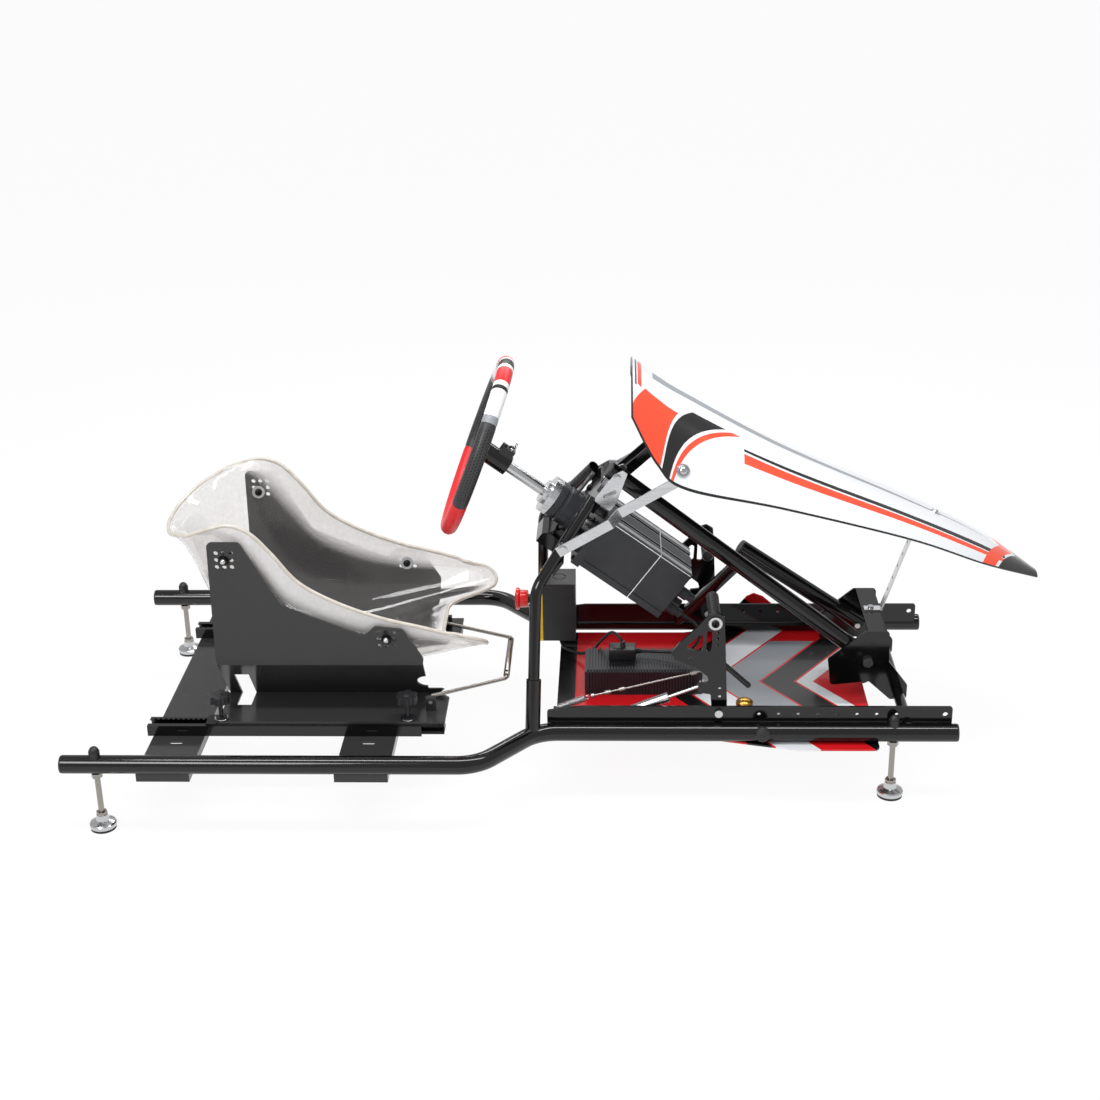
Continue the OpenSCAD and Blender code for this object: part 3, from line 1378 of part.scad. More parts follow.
rail_right();
rail_left();
tube_caps();
rear_cross();
seat_cross();
slider_rails();
upright_right();
upright_left();
steering_plate();
bearing_housing();
column_bearing();
motor_flange();
motor_body();
motor_connectors();
head_side_plates();
strut_right();
strut_left();
front_bracket();
front_cross_tube();
pedal_plate_right();
pedal_plate_left();
floor_tray();
power_supply();
estop_box();
estop_lid();
fairing();
fairing_straps();
fairing_stays();
fairing_bolts();
foot_studs();
foot_bases();
foot_pads();
foot_caps();
frame_bolts();
throttle_sensor();
harness();
seat_shell();
seat_bracket_right();
seat_bracket_left();
slider_runners();
seat_bolts();
slider_lever();
knob_rear_right();
knob_front_right();
knob_rear_left();
knob_front_left();
wheel_rim();
wheel_plate();
wheel_hub();
steering_shaft();
shaft_collar();
throttle_arm();
throttle_peg();
brake_arm();
brake_peg();
sensor_rod();
throttle_wire();
return_spring();
estop_button();
stop_knob();
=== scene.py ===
"""Karting simulator chassis: finishes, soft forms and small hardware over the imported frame."""

import json
import math

import bmesh
import bpy
from bpy.props import FloatProperty, FloatVectorProperty, IntProperty, PointerProperty
from mathutils import Matrix, Vector


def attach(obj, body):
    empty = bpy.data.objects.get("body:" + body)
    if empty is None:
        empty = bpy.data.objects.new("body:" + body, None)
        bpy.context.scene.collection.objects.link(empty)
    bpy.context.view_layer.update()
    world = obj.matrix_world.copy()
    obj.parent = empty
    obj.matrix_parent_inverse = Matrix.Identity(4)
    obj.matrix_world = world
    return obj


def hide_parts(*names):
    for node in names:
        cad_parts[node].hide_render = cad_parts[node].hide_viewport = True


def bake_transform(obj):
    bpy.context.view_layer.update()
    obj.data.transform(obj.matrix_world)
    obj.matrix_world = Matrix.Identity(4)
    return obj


bl_info = {
    "name": "Karting Simulator Chassis",
    "version": (1, 0, 0),
    "blender": (4, 5, 0),
    "location": "View3D > Sidebar > Kart",
    "description": "Finishes and small hardware for the karting simulator chassis",
    "category": "Object",
}

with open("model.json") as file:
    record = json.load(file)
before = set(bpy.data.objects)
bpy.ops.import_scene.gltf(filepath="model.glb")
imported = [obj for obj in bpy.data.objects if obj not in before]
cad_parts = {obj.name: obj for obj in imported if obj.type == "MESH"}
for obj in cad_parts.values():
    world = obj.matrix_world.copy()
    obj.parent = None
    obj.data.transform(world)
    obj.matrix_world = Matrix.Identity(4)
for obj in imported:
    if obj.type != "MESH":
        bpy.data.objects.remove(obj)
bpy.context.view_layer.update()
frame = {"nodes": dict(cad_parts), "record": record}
MM = 0.001

# Wheel and column axes, in mm, with local Z running down the column
WHEEL = Matrix.Translation((-149, 0, 577)) @ Matrix.Rotation(math.radians(111), 4, "Y")
COLUMN = Matrix.Translation((-149, 0, 577)) @ Matrix.Rotation(math.radians(126.5), 4, "Y")
FLIP = Matrix.Rotation(math.pi, 4, "X")
SIDEWAYS = Matrix.Rotation(math.pi / 2, 4, "X")

# Seat stations: spine point, rim point and half width, in mm
SEAT_RIBS = (
    (-702, 451, -640, 476, 152), (-678, 424, -606, 487, 152), (-656, 378, -570, 493, 151),
    (-632, 318, -533, 479, 151), (-592, 250, -497, 440, 151), (-535, 198, -455, 387, 151),
    (-462, 174, -395, 350, 151), (-382, 174, -320, 320, 151), (-300, 199, -240, 299, 150),
    (-219, 239, -178, 281, 146),
)
# Fairing stations: length and height of the ridge, share of the half width, and drop of the edge, in mm
FAIRING_SPINE = tuple(
    (122 + 727 * far, height, share, drop) for far, height, share, drop in (
        (0, 728, 0.90, 60), (0.06, 697, 0.97, 112), (0.13, 665, 1, 124), (0.36, 572, 0.99, 68),
        (0.66, 473, 0.86, 32), (0.85, 405, 0.62, 24), (1, 332, 0.12, 5),
    )
)
# Length of the seat down its spine, its girth from rim to rim, and the milky band along the rim, in mm
SEAT_RUN, SEAT_GIRTH = 900, 660
HAZE_START, HAZE_END = 8, 44
# Flared rim and thigh lobes of the seat: reach in mm, and where they start as a share of the half width or length
SEAT_FLARE, FLARE_FROM = 13, 0.75
SEAT_LOBE, LOBE_FROM = 70, 0.72
LOBE_FOOT, LOBE_PEAK = 0.12, 0.62
SEAT_WALL, FAIRING_WALL, FAIRING_HALF = 4, 3, 131
# Seat bolts and foot pegs seen from the side, and both faces of the seat brackets, in mm
SEAT_BOLTS = ((-578, 432), (-305, 282))
PEG_AT = (266, 324)
BRACKET_IN, BRACKET_OUT = 172, 175
# Fairing fixings on both flanks and on the nose: share of the length, share of the half width, bolt radius in mm
FAIRING_BOLTS = ((0.322, 0.89, 4), (0.322, -0.89, 4), (0.731, 0.0, 3))
# Wheel grip in mm, and the seams of its leather in degrees from the top: grey band, black sides, red below
GRIP_RADIUS, GRIP_REACH = 14, 152
SEAMS = (50, 55, 113)
# Motor in the column's frame: both ends, middle and half of its height, half of its width, in mm
MOTOR_START, MOTOR_END = 266, 440
MOTOR_MID, MOTOR_HALF, MOTOR_SIDE = 6, 51, 62
# Small hardware, in mm: centre of the emergency stop, knobs, tab of the brass stop screw, rail bumper, lever bar
ESTOP_AT = (-50, 141, 214)
KNOBS_X, KNOBS_Y = (("rear", -602), ("front", -271)), 202
STOP_TAB = (320, -189, 144)
BUMPER_AT = (349, -238.6, 131)
LEVER_X, LEVER_Z, LEVER_HALF = -104, 158.5, 76
# Camera: place in metres, and pitch, yaw and roll in degrees
CAMERA_AT = (0.101, -2.958, 1.6426)
CAMERA_TURN = (23.17, -2.412, -1.056)
# Routes of the leads and ends of the return spring, in mm
STOP_LEAD = (
    (-13, 130, 142), (-11.2, 127.1, 132.1), (-7.8, 121.5, 125.3), (-1, 113.2, 121.6), (16.8, 99.3, 120.3),
    (34.5, 83.4, 125.7), (55.9, 60.1, 149.2), (64.3, 49.6, 165.6), (85.6, 21.7, 199.5), (100.6, 7.1, 197.9),
    (107.6, 1.2, 186), (108, 1, 172),
)
MOTOR_LEAD = (
    (126, 4, 170), (140, 4, 170), (170, 0, 171), (204, -12, 176), (230, -26, 188), (244, -36, 208),
    (246, -41, 230), (236, -42, 250), (219.9, -42, 261.8), (211.8, -42, 267.7),
)
SPRING = ((-9.2, -189, 153.1), (47.4, -189, 176.1))


# Curves and surfaces

def lerp(a, b, t):
    """Value at share t of the way from a to b."""
    return a + (b - a) * t


def spline(stations, t):
    """Smooth curve through the stations of a loft."""
    last = len(stations) - 1
    i = min(last - 1, int(t * last))
    u = t * last - i
    near = [stations[max(0, i - 1)], stations[i], stations[i + 1], stations[min(last, i + 2)]]
    return [
        0.5 * (2 * b + (c - a) * u + (2 * a - 5 * b + 4 * c - d) * u * u + (3 * b - a - 3 * c + d) * u ** 3)
        for a, b, c, d in zip(*near)
    ]


def thigh_lobe(k):
    """Outline of a thigh lobe across half the seat."""
    if k > LOBE_PEAK:
        return math.sqrt(max(0, 1 - ((k - LOBE_PEAK) / (1 - LOBE_PEAK)) ** 2))
    return 0.5 - 0.5 * math.cos(math.pi * max(0, min(1, (k - LOBE_FOOT) / (LOBE_PEAK - LOBE_FOOT))))


def seat_point(t, k):
    """Inner face of the seat: t runs down the back to the front edge, k across from -1 to 1."""
    rib = spline(SEAT_RIBS, t)
    a = math.pi / 2 * abs(k)
    square = lerp(1, 0.72, min(1, 3 * t))
    across = math.sin(a) ** square
    up = 1 - max(0, math.cos(a)) ** square
    flare = SEAT_FLARE * max(0, (abs(k) - FLARE_FROM) / (1 - FLARE_FROM)) ** 2
    lobe = SEAT_LOBE * max(0, (t - LOBE_FROM) / (1 - LOBE_FROM)) ** 1.5 * thigh_lobe(abs(k))
    y = math.copysign(rib[4] * across + flare, k)
    return Vector((lerp(rib[0], rib[2], up) + lobe, y, lerp(rib[1], rib[3], up)))


def fairing_point(t, k):
    """Inner face of the fairing: t runs from the rear edge to the nose, k across from -1 to 1."""
    x, z, share, drop = spline(FAIRING_SPINE, t)
    f = abs(k) ** 0.85
    return Vector((x, math.copysign(f * share * FAIRING_HALF, k), z - drop * f ** 2.6))


def normal_at(surface, t, k):
    """Unit normal of a surface: the way along t crossed with the way along k."""
    along = surface(min(1, t + 0.004), k) - surface(max(0, t - 0.004), k)
    across = surface(t, min(1, k + 0.01)) - surface(t, max(-1, k - 0.01))
    return along.cross(across).normalized()


def smooth_route(points, count):
    """Evenly many points on the smooth curve through a route."""
    return [Vector(spline(points, i / (count - 1))) for i in range(count)]


def stand(origin, way):
    """Matrix that puts local Z along a direction at a point."""
    return Matrix.Translation(origin) @ Vector(way).to_track_quat("Z", "Y").to_matrix().to_4x4()


def lift(z):
    """Matrix that moves along local Z."""
    return Matrix.Translation((0, 0, z))


# Meshes, in mm until they become a piece

def lathe(shape, profile, place=Matrix(), finish=0, steps=32):
    """Turns a profile of (radius, height) about local Z."""
    old = set(shape.verts)
    start = [shape.verts.new((r, 0, z)) for r, z in profile]
    edges = [shape.edges.new(pair) for pair in zip(start, start[1:])]
    bmesh.ops.spin(shape, geom=start + edges, axis=(0, 0, 1), angle=math.tau, steps=steps, use_merge=True)
    bmesh.ops.remove_doubles(shape, verts=[v for v in shape.verts if v not in old], dist=1e-4)
    settle(shape, old, place, finish)


def edges_of(verts):
    """Edges that meet the vertices, each once."""
    return list(dict.fromkeys(e for v in verts for e in v.link_edges))


def wire_section(shape, reach, radius, segments):
    """Round section of a wire at a distance from local Z, ready to spin."""
    place = Matrix.Translation((reach, 0, 0)) @ SIDEWAYS
    made = bmesh.ops.create_circle(shape, segments=segments, radius=radius, matrix=place)
    return made["verts"] + edges_of(made["verts"])


def ring(shape, reach, radius, place):
    """Round wire bent to a ring about local Z."""
    old = set(shape.verts)
    section = wire_section(shape, reach, radius, 10)
    bmesh.ops.spin(shape, geom=section, axis=(0, 0, 1), angle=math.tau, steps=24, use_merge=True)
    settle(shape, old, place, 0)


def block(shape, low, high, radius, place=Matrix(), finish=0):
    """Box between two corners with rounded edges."""
    old = set(shape.verts)
    low, high = Vector(low), Vector(high)
    form = Matrix.Translation((low + high) / 2) @ Matrix.Diagonal((*(high - low), 1))
    edges = edges_of(bmesh.ops.create_cube(shape, size=1, matrix=form)["verts"])
    bmesh.ops.bevel(shape, geom=edges, offset=radius, segments=3, profile=0.5, affect="EDGES", material=-1)
    settle(shape, old, place, finish)


def hexagon(shape, across, height, place=Matrix(), finish=0):
    """Hexagon head or nut standing on local Z = 0."""
    old = set(shape.verts)
    size = across / math.sqrt(3)
    made = bmesh.ops.create_cone(shape, cap_ends=True, segments=6, radius1=size, radius2=size, depth=height,
                                 matrix=lift(height / 2))
    edges = edges_of(made["verts"])
    bmesh.ops.bevel(shape, geom=edges, offset=0.5, segments=2, profile=0.5, affect="EDGES", material=-1)
    settle(shape, old, place, finish)


def settle(shape, old, place, finish):
    """Turns the newest faces outwards, gives them their finish and moves them to their place."""
    new = [v for v in shape.verts if v not in old]
    faces = list(dict.fromkeys(f for v in new for f in v.link_faces))
    bmesh.ops.recalc_face_normals(shape, faces=faces)
    for face in faces:
        face.material_index = finish
    bmesh.ops.transform(shape, matrix=place, verts=new)


def skin(surface, rows, cols, wall):
    """Wall of a surface: the grid is its inner face, and its UV map holds (t, half of k + 1)."""
    shape = bmesh.new()
    shape.loops.layers.uv.new("skin")
    bmesh.ops.create_grid(shape, x_segments=rows, y_segments=cols, size=0.5, calc_uvs=True)
    for vert in shape.verts:
        vert.co = surface(vert.co.x + 0.5, 2 * vert.co.y)
    shape.normal_update()
    bmesh.ops.solidify(shape, geom=shape.faces[:], thickness=wall)
    bmesh.ops.recalc_face_normals(shape, faces=shape.faces)
    return shape


def button_head(r, h, socket):
    """Profile of a domed socket head."""
    turns = (0, 0.5, 0.9, 1.2, math.pi / 2)
    dome = [(socket + (r - socket) * math.sin(a), h * (0.25 + 0.75 * math.cos(a))) for a in turns]
    return [(0, h * 0.35), (socket, h * 0.35)] + dome + [(r, 0), (0, 0)]


def washer(inner, outer, thick):
    """Profile of a flat washer with broken edges."""
    break_in = 0.3
    rim = [(outer - break_in, 0), (outer, break_in), (outer, thick - break_in), (outer - break_in, thick)]
    return [(inner, 0)] + rim + [(inner, thick), (inner, 0)]


def piece(name, shape, finishes, body, nodes=(), sharp=32):
    """Makes a piece of a mesh in mm. It rides on a body and may take the place of CAD nodes."""
    bmesh.ops.scale(shape, vec=(MM, MM, MM), verts=shape.verts)
    mesh = bpy.data.meshes.new(name)
    shape.to_mesh(mesh)
    shape.free()
    for finish in finishes:
        mesh.materials.append(bpy.data.materials[finish])
    mesh.polygons.foreach_set("use_smooth", [True] * len(mesh.polygons))
    mesh.set_sharp_from_angle(angle=math.radians(sharp))
    return settled(name, mesh, body, nodes)


def tube(name, points, radius, finish, closed=False):
    """Round bar along points in metres, as a curve."""
    data = bpy.data.curves.new(name, "CURVE")
    data.dimensions = "3D"
    data.bevel_depth = radius
    data.bevel_resolution = 5
    data.use_fill_caps = not closed
    line = data.splines.new("POLY")
    line.points.add(len(points) - 1)
    for point, place in zip(line.points, points):
        point.co = (*place, 1)
    line.use_cyclic_u = closed
    line.use_smooth = True
    data.materials.append(bpy.data.materials[finish])
    return data


def settled(name, data, body, nodes=()):
    """Puts a mesh or a curve into the scene, its body and the CAD nodes that it replaces."""
    made = bpy.data.objects.new(name, data)
    bpy.context.scene.collection.objects.link(made)
    if body:
        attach(made, body)
    if nodes:
        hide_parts(*nodes)
    return made


# Colours and nodes

def linear(hex_colour):
    """sRGB hex to a linear RGBA colour."""
    channels = [int(hex_colour[i:i + 2], 16) / 255 for i in (1, 3, 5)]
    return tuple(c / 12.92 if c <= 0.04045 else ((c + 0.055) / 1.055) ** 2.4 for c in channels) + (1.0,)


def add(tree, kind, inputs=None, stops=(), **settings):
    """Adds a node with its settings, ramp stops and inputs. A node given as an input links by its first output."""
    made = tree.nodes.new("ShaderNode" + kind)
    for key, value in settings.items():
        setattr(made, key, value)
    for key, value in (inputs or {}).items():
        source = value.outputs[0] if isinstance(value, bpy.types.Node) else value
        if isinstance(source, bpy.types.NodeSocket):
            tree.links.new(source, made.inputs[key])
        else:
            made.inputs[key].default_value = source
    for i, (position, colour) in enumerate(stops):
        made.color_ramp.elements[i].position = position
        made.color_ramp.elements[i].color = linear(colour)
    return made


def begin(name):
    """Starts a finish: an empty node tree and the piece's own coordinates in metres."""
    made = bpy.data.materials.new(name)
    made.use_nodes = True
    made.node_tree.nodes.clear()
    return made.node_tree, add(made.node_tree, "TexCoord").outputs["Object"]


def overprint(tree, ground, bands):
    """Lays colours over a ground, each where all of its values lie inside their limits."""
    for colour, *limits in bands:
        mask = 1.0
        for value, low, high in limits:
            inside = {0: value, 1: (low + high) / 2, 2: (high - low) / 2}
            within = add(tree, "Math", inside, operation="COMPARE")
            mask = add(tree, "Math", {0: mask, 1: within}, operation="MULTIPLY")
        ground = add(tree, "Mix", {0: mask, 6: ground, 7: colour}, data_type="RGBA").outputs[2]
    return ground


def shade(name, description, hex_colour):
    """Colour property with an sRGB default."""
    return FloatVectorProperty(name=name, description=description, subtype="COLOR", size=4, default=linear(hex_colour))


class KartColours(bpy.types.PropertyGroup):
    """Colours of the finishes, in linear RGB."""

    tube: shade("Tube coat", "Powder coat of the tubes", "#0b0b0c")
    # Painted light: the black coat of the brackets painted dark grey, for the light on their flat faces
    sheet: shade("Sheet coat", "Powder coat of the brackets", "#323233")
    white: shade("Print white", "Ground of the fairing print", "#dde0e4")
    orange: shade("Print orange", "Blocks of the fairing print", "#ee4a2a")
    black: shade("Print black", "Bands of the prints", "#0f0f11")
    grey: shade("Print grey", "Thin lines of the prints", "#8d9298")
    red: shade("Grip red", "Lower part of the wheel grip and the tray", "#d61a22")


class KartSizes(bpy.types.PropertyGroup):
    """Sizes of the pieces that this script adds, and the lens of the camera."""

    camera_lens: FloatProperty(name="Lens", description="Focal length of the camera in mm", default=58.25)
    lead_d: FloatProperty(name="Lead", description="Diameter of the leads", default=0.006, unit="LENGTH")
    rim_d: FloatProperty(name="Seat rim", description="Diameter of the rounded seat edge", default=0.0066,
                         unit="LENGTH")
    spring_turns: IntProperty(name="Spring turns", description="Turns of the return spring", default=20)
    hole_pitch: FloatProperty(name="Hole pitch", description="Pitch of the holes in the grip leather", default=0.0055,
                              unit="LENGTH")


# Finishes

def powder_coat(name, colour, sleek, dull, specular):
    # Powder coat on steel: black, a slight orange peel, bright lines along tubes and folds
    tree, place = begin(name)
    cloud = add(tree, "TexNoise", {"Vector": place, "Scale": 1 / (45 * MM), "Detail": 4.0})
    peel = add(tree, "TexNoise", {"Vector": place, "Scale": 1 / (2.4 * MM), "Detail": 2.0})
    coat = add(tree, "BsdfPrincipled", {
        "Base Color": colour, "Specular IOR Level": specular,
        "Roughness": add(tree, "MapRange", {
            "Value": cloud, "From Min": 0.3, "From Max": 0.7, "To Min": sleek, "To Max": dull,
        }),
        "Normal": add(tree, "Bump", {"Height": peel, "Strength": 0.2, "Distance": 0.05 * MM}),
    })
    add(tree, "OutputMaterial", {"Surface": coat})


def tube_coat():
    # The tubes are deep black and mirror-like
    powder_coat("glossy_powder_coat", bpy.context.scene.kart_colours.tube, 0.08, 0.15, 0.5)


def sheet_coat():
    # Painted light: the black coat of the folded sheets is painted dark grey, lighter than the tubes, for the light
    # that their flat faces catch
    powder_coat("satin_powder_coat", bpy.context.scene.kart_colours.sheet, 0.12, 0.22, 0.35)


def anodised_black():
    # Black anodised aluminium: dark grey sheen with a fine bead-blasted tooth, drawn coarse enough to show
    tree, place = begin("black_anodised_aluminium")
    cloud = add(tree, "TexNoise", {"Vector": place, "Scale": 1 / (60 * MM), "Detail": 3.0})
    tooth = add(tree, "TexNoise", {"Vector": place, "Scale": 1 / (0.9 * MM), "Detail": 2.0})
    metal = add(tree, "BsdfPrincipled", {
        "Base Color": add(tree, "ValToRGB", {"Fac": cloud}, [(0.3, "#2f3033"), (0.7, "#393a3e")]),
        "Metallic": 0.1, "Roughness": 0.36, "Specular IOR Level": 0.3,
        "Normal": add(tree, "Bump", {"Height": tooth, "Strength": 0.3, "Distance": 0.05 * MM}),
    })
    add(tree, "OutputMaterial", {"Surface": metal})


def steel(name, dark, light, sleek, dull):
    # Bare steel: faint turning lines round the bars
    tree, place = begin(name)
    along = add(tree, "Mapping", {"Vector": place, "Scale": (1, 1, 6)})
    lines = add(tree, "TexNoise", {"Vector": along, "Scale": 1 / (1.2 * MM), "Detail": 3.0})
    metal = add(tree, "BsdfPrincipled", {
        "Base Color": add(tree, "ValToRGB", {"Fac": lines}, [(0.25, dark), (0.75, light)]),
        "Metallic": 1.0,
        "Roughness": add(tree, "MapRange", {
            "Value": lines, "From Min": 0.2, "From Max": 0.8, "To Min": sleek, "To Max": dull,
        }),
    })
    add(tree, "OutputMaterial", {"Surface": metal})


STEELS = (
    # Zinc-plated steel: bright and clean
    ("bright_zinc_steel", "#b4b5b7", "#d9dadc", 0.12, 0.26),
    # Drawn stainless steel: greyer and warmer than zinc, with a satin line along the bar
    ("satin_stainless_steel", "#87827d", "#b0aaa4", 0.2, 0.34),
)


def black_oxide():
    # Black oxide on steel screws: dark, oily, slightly brown
    tree, place = begin("black_oxide_steel")
    cloud = add(tree, "TexNoise", {"Vector": place, "Scale": 1 / (6 * MM), "Detail": 3.0})
    metal = add(tree, "BsdfPrincipled", {
        "Base Color": add(tree, "ValToRGB", {"Fac": cloud}, [(0.3, "#1a1918"), (0.7, "#2b2a29")]),
        "Metallic": 0.8, "Roughness": 0.34,
    })
    add(tree, "OutputMaterial", {"Surface": metal})


def brushed_aluminium():
    # Brushed aluminium: pale, with long fine lines
    tree, place = begin("brushed_aluminium")
    along = add(tree, "Mapping", {"Vector": place, "Scale": (0.06, 1, 1)})
    lines = add(tree, "TexNoise", {"Vector": along, "Scale": 1 / (1.5 * MM), "Detail": 4.0})
    metal = add(tree, "BsdfPrincipled", {
        "Base Color": add(tree, "ValToRGB", {"Fac": lines}, [(0.25, "#bcbdc0"), (0.75, "#dddee0")]),
        "Metallic": 1.0,
        "Roughness": add(tree, "MapRange", {
            "Value": lines, "From Min": 0.2, "From Max": 0.8, "To Min": 0.2, "To Max": 0.36,
        }),
        "Normal": add(tree, "Bump", {"Height": lines, "Strength": 0.25, "Distance": 0.03 * MM}),
    })
    add(tree, "OutputMaterial", {"Surface": metal})


def plastic(name, dark, light, roughness, mottle, tooth, strength, coat=0.0):
    # Moulded plastic or rubber: a slight flow mottle and the texture of the mould
    tree, place = begin(name)
    cloud = add(tree, "TexNoise", {"Vector": place, "Scale": 1 / (mottle * MM), "Detail": 4.0})
    bumps = add(tree, "TexNoise", {"Vector": place, "Scale": 1 / (tooth * MM), "Detail": 2.0})
    body = add(tree, "BsdfPrincipled", {
        "Base Color": add(tree, "ValToRGB", {"Fac": cloud}, [(0.3, dark), (0.7, light)]),
        "Roughness": roughness, "Coat Weight": coat,
        "Normal": add(tree, "Bump", {"Height": bumps, "Strength": strength, "Distance": 0.08 * MM}),
    })
    add(tree, "OutputMaterial", {"Surface": body})


PLASTICS = (
    # Black nylon: matt, with a spark-eroded texture
    ("moulded_black_nylon", "#1a1a1c", "#232326", 0.45, 25, 1.0, 0.4),
    # Black rubber: dull, slightly dusty
    ("black_rubber", "#1a1a1a", "#2a2a2a", 0.55, 12, 1.4, 0.35),
    # Soft PVC of the cables and the peg sleeves: smooth black with a low sheen
    ("cable_sheath", "#101011", "#181819", 0.42, 20, 3.0, 0.1),
    # Yellow polycarbonate lid: clean and half-gloss
    ("moulded_yellow", "#e0ae0c", "#efbf18", 0.4, 18, 1.3, 0.2),
    # Red button: glossy, with a clear skin
    ("moulded_red", "#cf1418", "#e02420", 0.25, 18, 1.3, 0.15, 0.3),
    # White enamel pinstripe: wiped level, half-gloss
    ("white_enamel", "#dcdee0", "#eeeff0", 0.32, 8, 2.0, 0.1),
    # Silver film on the motor: pale, satin, not quite a mirror
    ("silver_film", "#b4b6b9", "#d2d4d6", 0.3, 10, 2.0, 0.1),
)


def turned_brass():
    # Turned brass: warm metal with fine tool lines
    tree, place = begin("turned_brass")
    along = add(tree, "Mapping", {"Vector": place, "Scale": (1, 1, 8)})
    lines = add(tree, "TexNoise", {"Vector": along, "Scale": 1 / (0.8 * MM), "Detail": 2.0})
    metal = add(tree, "BsdfPrincipled", {
        "Base Color": add(tree, "ValToRGB", {"Fac": lines}, [(0.3, "#8a6226"), (0.7, "#c69a4c")]),
        "Metallic": 1.0, "Roughness": 0.28,
    })
    add(tree, "OutputMaterial", {"Surface": metal})


def fibreglass():
    # Clear glass fibre in resin: see-through in the bowl, milky towards the rim, faint strands under a glossy skin
    tree, place = begin("clear_fibreglass")
    strands = add(tree, "TexNoise", {"Vector": place, "Scale": 1 / (7 * MM), "Detail": 5.0})
    ripple = add(tree, "TexNoise", {"Vector": place, "Scale": 1 / (26 * MM), "Detail": 3.0})
    rim = add(tree, "Attribute", attribute_name="rim").outputs["Fac"]
    shell = add(tree, "BsdfPrincipled", {
        "Base Color": add(tree, "ValToRGB", {"Fac": strands}, [(0.25, "#e9e7e6"), (0.75, "#f7f5f3")]),
        "Transmission Weight": add(tree, "MapRange", {"Value": rim, "To Min": 0.97, "To Max": 0.3},
                                   interpolation_type="SMOOTHSTEP"),
        "Roughness": add(tree, "MapRange", {
            "Value": strands, "From Min": 0.3, "From Max": 0.7, "To Min": 0.03, "To Max": 0.09,
        }),
        "IOR": 1.38,
        "Normal": add(tree, "Bump", {"Height": ripple, "Strength": 0.25, "Distance": 0.5 * MM}),
    })
    add(tree, "OutputMaterial", {"Surface": shell})


def fibreglass_edge():
    # Trimmed edge of the shell: the cut laminate is creamy and half clear
    tree, place = begin("creamy_fibreglass_edge")
    cloud = add(tree, "TexNoise", {"Vector": place, "Scale": 1 / (14 * MM), "Detail": 5.0})
    edge = add(tree, "BsdfPrincipled", {
        "Base Color": add(tree, "ValToRGB", {"Fac": cloud}, [(0.25, "#d2c8bb"), (0.75, "#ebe5dd")]),
        "Roughness": 0.24, "IOR": 1.4, "Transmission Weight": 0.3, "Coat Weight": 0.3,
    })
    add(tree, "OutputMaterial", {"Surface": edge})


def fairing_print():
    # Gloss-laminated print on a moulded shell: white ground, orange and black sashes, black nose and edge
    tree, place = begin("printed_gloss_fairing")
    ink = bpy.context.scene.kart_colours
    at = add(tree, "SeparateXYZ", {0: add(tree, "UVMap", uv_map="skin")})
    along = at.outputs["X"]
    half = add(tree, "Math", {0: at.outputs["Y"], 1: 2.0, 2: -1.0}, operation="MULTIPLY_ADD")
    across = add(tree, "Math", {0: half}, operation="ABSOLUTE")
    lean = add(tree, "Math", {0: across, 1: 0.22, 2: along}, operation="MULTIPLY_ADD")
    nose = add(tree, "Math", {0: across, 1: 0.06, 2: along}, operation="MULTIPLY_ADD")
    ridge = add(tree, "Math", {0: along, 1: 0.12, 2: across}, operation="MULTIPLY_ADD")
    sweep = add(tree, "MapRange", {"Value": along, "From Min": 0.42, "From Max": 0.9, "To Min": 0.0, "To Max": 0.12})
    blade = add(tree, "Math", {0: across, 1: sweep}, operation="SUBTRACT")
    bands = [
        (ink.grey, (ridge, -1, 0.108), (along, 0.14, 0.86)),
        (ink.orange, (lean, 0.19, 0.40), (across, 0.42, 2)),
        (ink.black, (lean, 0.414, 0.478), (across, 0.3, 2)),
        (ink.orange, (lean, 0.488, 0.502), (across, 0.3, 2)),
        (ink.black, (across, 0.47, 2), (blade, -1, 0.5), (along, 0.44, 0.89)),
        (ink.orange, (blade, 0.53, 0.65), (along, 0.44, 0.89)),
        (ink.orange, (nose, 0.885, 0.918)),
        (ink.black, (nose, 0.926, 9)),
        (ink.black, (along, 0.03, 0.042), (across, -1, 0.5)),
        (ink.orange, (along, 0.05, 0.075), (across, -1, 0.46)),
        (ink.black, (across, 0.982, 2)),
        (ink.black, (along, -1, 0.008)),
    ]
    cloud = add(tree, "TexNoise", {"Vector": place, "Scale": 1 / (80 * MM), "Detail": 3.0})
    swell = add(tree, "TexNoise", {"Vector": place, "Scale": 1 / (30 * MM), "Detail": 2.0})
    ground = add(tree, "Mix", {0: cloud, 6: ink.white, 7: linear("#e6e8eb")}, data_type="RGBA").outputs[2]
    shell = add(tree, "BsdfPrincipled", {
        "Base Color": overprint(tree, ground, bands),
        "Roughness": 0.24, "Coat Weight": 0.5, "Coat Roughness": 0.06,
        "Normal": add(tree, "Bump", {"Height": swell, "Strength": 0.15, "Distance": 0.12 * MM}),
    })
    add(tree, "OutputMaterial", {"Surface": shell})


